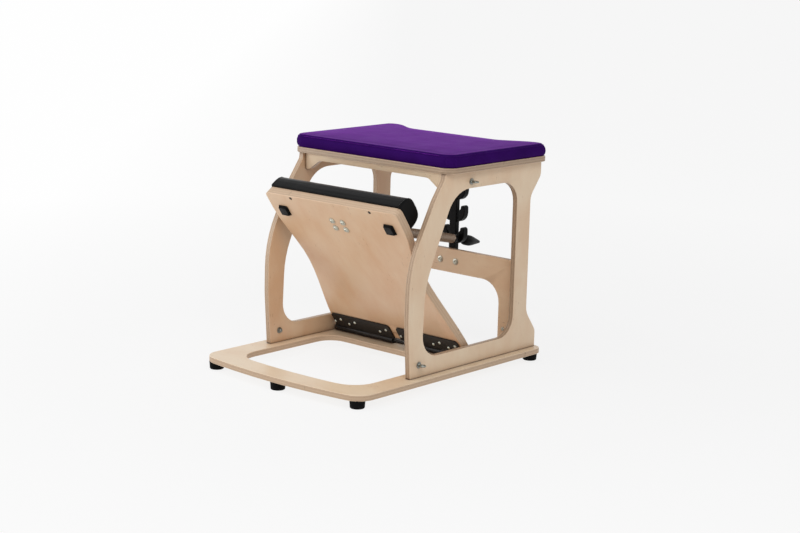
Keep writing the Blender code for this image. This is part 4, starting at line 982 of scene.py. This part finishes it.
def add_knob(axes):
    """The handle behind the tree: a long cone with shallow finger flutes at its thick end."""
    profile = mm((0, -96.5), (1.6, -96.3), (3.1, -95.5), (4.1, -94), (4.8, -92), (6.2, -86.5), (8.2, -79),
                 (10.7, -69.5), (13, -61), (14.8, -53.5), (16, -47), (16.7, -42), (16.8, -38), (16.6, -33),
                 (15.8, -28), (14.5, -23), (12.5, -19), (10.2, -16), (8, -14.5), (4.5, -14.2), (3.5, -13.8),
                 (3.5, 15.7), (0, 15.7))
    # The flutes are deepest 36 mm behind the hook and fade out 26 mm to each side
    fluted = [(radius, height, 0.075 * max(0.0, 1 - abs(height + 0.036) / 0.026) if radius > 0.006 else 0.0)
              for radius, height in profile]
    bm = add_turned(bmesh.new(), fluted, axes, sides=72)
    new_piece("spring_knob_finished", bm, NYLON, "spring_tail", ["spring_knob"], 45)


# Stage

def seen_rays(add):
    """1 for the rays by which a surface is seen, whether straight, mirrored or through glass."""
    ray = add("LightPath").outputs
    seen = add("Math ADD", {0: ray["Is Camera Ray"], 1: ray["Is Glossy Ray"]})
    return add("Math ADD", {0: seen, 1: ray["Is Transmission Ray"], "use_clamp": True})


def make_floor():
    """The floor: it glows a little, like a lit table, and more of that glow than of its shade is seen."""
    material, add = new_material("matt_studio_floor")
    seen = seen_rays(add)
    share = add("Math MULTIPLY_ADD", {0: seen, 1: 0.5, 2: 0.37})
    # Painted light and shade: the floor's glow is drawn a little greyer near the chair, a painted shadow, and
    # whiter away from it. Towards the left more of the glow is seen, a painted pool of light from that side
    place = add("TexCoord").outputs["Object"]
    far = add("VectorMath LENGTH", {0: place})
    far = add("MapRange", {"From Min": 0.9, "From Max": 3.0, "Value": far})
    painted_glow = add("Mix RGBA", {0: far, 6: linear("#F9F9F9"), 7: linear("#FFFFFF")})
    left = add("VectorMath DOT_PRODUCT", {0: place, 1: (-0.75, -0.66, 0.0)})
    left = add("MapRange", {"From Min": 0.0, "From Max": 1.5, "To Max": 0.12, "Value": left})
    share = add("Math MULTIPLY_ADD", {0: left, 1: seen, 2: share})
    mixed = add("MixShader", {0: share, 1: add("BsdfDiffuse", {"Color": linear("#F4F4F4")}),
                              2: add("Emission", {"Strength": 1.0, "Color": painted_glow})})
    add("OutputMaterial", {"Surface": mixed})
    bm = bmesh.new()
    bmesh.ops.create_grid(bm, x_segments=1, y_segments=1, size=70.0)
    mesh = bpy.data.meshes.new("studio_floor")
    bm.to_mesh(mesh)
    bm.free()
    mesh.materials.append(material)
    linked("studio_floor", mesh)


def make_stage():
    """A pale floor under soft, even light, and the camera."""
    scene = bpy.context.scene
    scene.view_settings.view_transform = "Standard"
    make_floor()
    world = bpy.data.worlds.new("studio")
    world.use_nodes = True
    world.node_tree.nodes.clear()
    scene.world = world
    add = partial(add_node, world.node_tree)
    mixed = add("MixShader", {0: seen_rays(add),
                              1: add("Background", {"Color": (1, 1, 1, 1), "Strength": WORLD_LIGHT}),
                              2: add("Background", {"Color": linear("#FDFDFD"), "Strength": 1.0})})
    add("OutputWorld", {"Surface": mixed})
    for name, place, size, power in LAMPS:
        lamp = bpy.data.lights.new(name, "AREA")
        lamp.size = size
        lamp.energy = power
        # A lamp shines along its own -z
        linked(name, lamp).matrix_world = facing(Vector(place) - LAMPS_AIM, place)
    lens = bpy.data.cameras.new("camera")
    lens.sensor_width = SENSOR
    lens.lens = FOCAL_PIXELS * SENSOR / IMAGE_WIDTH
    lens.clip_end = 300.0
    scene.camera = linked("camera", lens)
    scene.camera.matrix_world = Matrix.Translation(CAMERA_PLACE) @ Matrix(CAMERA_AXES).transposed().to_4x4()


# Operators

class CHAIR_OT_stage(bpy.types.Operator):
    """Sets up the floor, the light and the camera."""
    bl_idname = "chair.stage"
    bl_label = "Stage"

    def execute(self, context):
        make_stage()
        return {"FINISHED"}


class CHAIR_OT_plywood(bpy.types.Operator):
    """Finishes every plywood sheet with birch veneer and plies."""
    bl_idname = "chair.plywood"
    bl_label = "Plywood"

    def execute(self, context):
        make_plywood(context.scene.chair_looks)
        return {"FINISHED"}


class CHAIR_OT_seat(bpy.types.Operator):
    """Upholsters the seat."""
    bl_idname = "chair.seat"
    bl_label = "Seat cushion"

    def execute(self, context):
        make_seat(context.scene.chair_looks)
        return {"FINISHED"}


class CHAIR_OT_pad(bpy.types.Operator):
    """Upholsters the pedal's bolster."""
    bl_idname = "chair.pad"
    bl_label = "Pedal pad"

    def execute(self, context):
        make_pad(context.scene.chair_looks)
        return {"FINISHED"}


class CHAIR_OT_feet(bpy.types.Operator):
    """Adds the rubber feet and stops."""
    bl_idname = "chair.feet"
    bl_label = "Feet and stops"

    def execute(self, context):
        add_feet()
        return {"FINISHED"}


class CHAIR_OT_hinge(bpy.types.Operator):
    """Adds the hinge with its screws."""
    bl_idname = "chair.hinge"
    bl_label = "Hinge"

    def execute(self, context):
        add_hinge()
        return {"FINISHED"}


class CHAIR_OT_fasteners(bpy.types.Operator):
    """Adds the bolts, nuts, pins, caps and eyebolts."""
    bl_idname = "chair.fasteners"
    bl_label = "Fasteners"

    def execute(self, context):
        add_bolts()
        add_pins_and_caps()
        add_eyebolts()
        return {"FINISHED"}


class CHAIR_OT_spring(bpy.types.Operator):
    """Adds the spring, its coated steel bracket and its handle."""
    bl_idname = "chair.spring"
    bl_label = "Spring"

    def execute(self, context):
        finished_node("spring_bracket", COATED, 35)
        add_spring(context.scene.chair_looks)
        return {"FINISHED"}


class CHAIR_OT_tree(bpy.types.Operator):
    """Adds the moulded spring tree."""
    bl_idname = "chair.tree"
    bl_label = "Spring tree"

    def execute(self, context):
        add_tree()
        return {"FINISHED"}


STEPS = (CHAIR_OT_stage, CHAIR_OT_plywood, CHAIR_OT_seat, CHAIR_OT_pad, CHAIR_OT_feet, CHAIR_OT_hinge,
         CHAIR_OT_fasteners, CHAIR_OT_spring, CHAIR_OT_tree)


class CHAIR_PT_steps(bpy.types.Panel):
    """Lists the chair's looks and the steps that build it."""
    bl_idname = "CHAIR_PT_steps"
    bl_label = "Pilates chair"
    bl_space_type = "VIEW_3D"
    bl_region_type = "UI"
    bl_category = "Chair"

    def draw(self, context):
        looks = context.scene.chair_looks
        for name in ChairLooks.__annotations__:
            self.layout.prop(looks, name)
        for step in STEPS:
            self.layout.operator(step.bl_idname)


def register():
    """Registers the add-on's classes."""
    for item in (ChairLooks, *STEPS, CHAIR_PT_steps):
        bpy.utils.register_class(item)
    bpy.types.Scene.chair_looks = bpy.props.PointerProperty(type=ChairLooks)


def unregister():
    """Removes the add-on's classes."""
    del bpy.types.Scene.chair_looks
    for item in reversed((ChairLooks, *STEPS, CHAIR_PT_steps)):
        bpy.utils.unregister_class(item)


def main():
    """Builds the chair step by step."""
    register()
    bpy.ops.chair.stage()
    bpy.ops.chair.plywood()
    bpy.ops.chair.seat()
    bpy.ops.chair.pad()
    bpy.ops.chair.feet()
    bpy.ops.chair.hinge()
    bpy.ops.chair.fasteners()
    bpy.ops.chair.spring()
    bpy.ops.chair.tree()


if __name__ == "__main__":
    main()
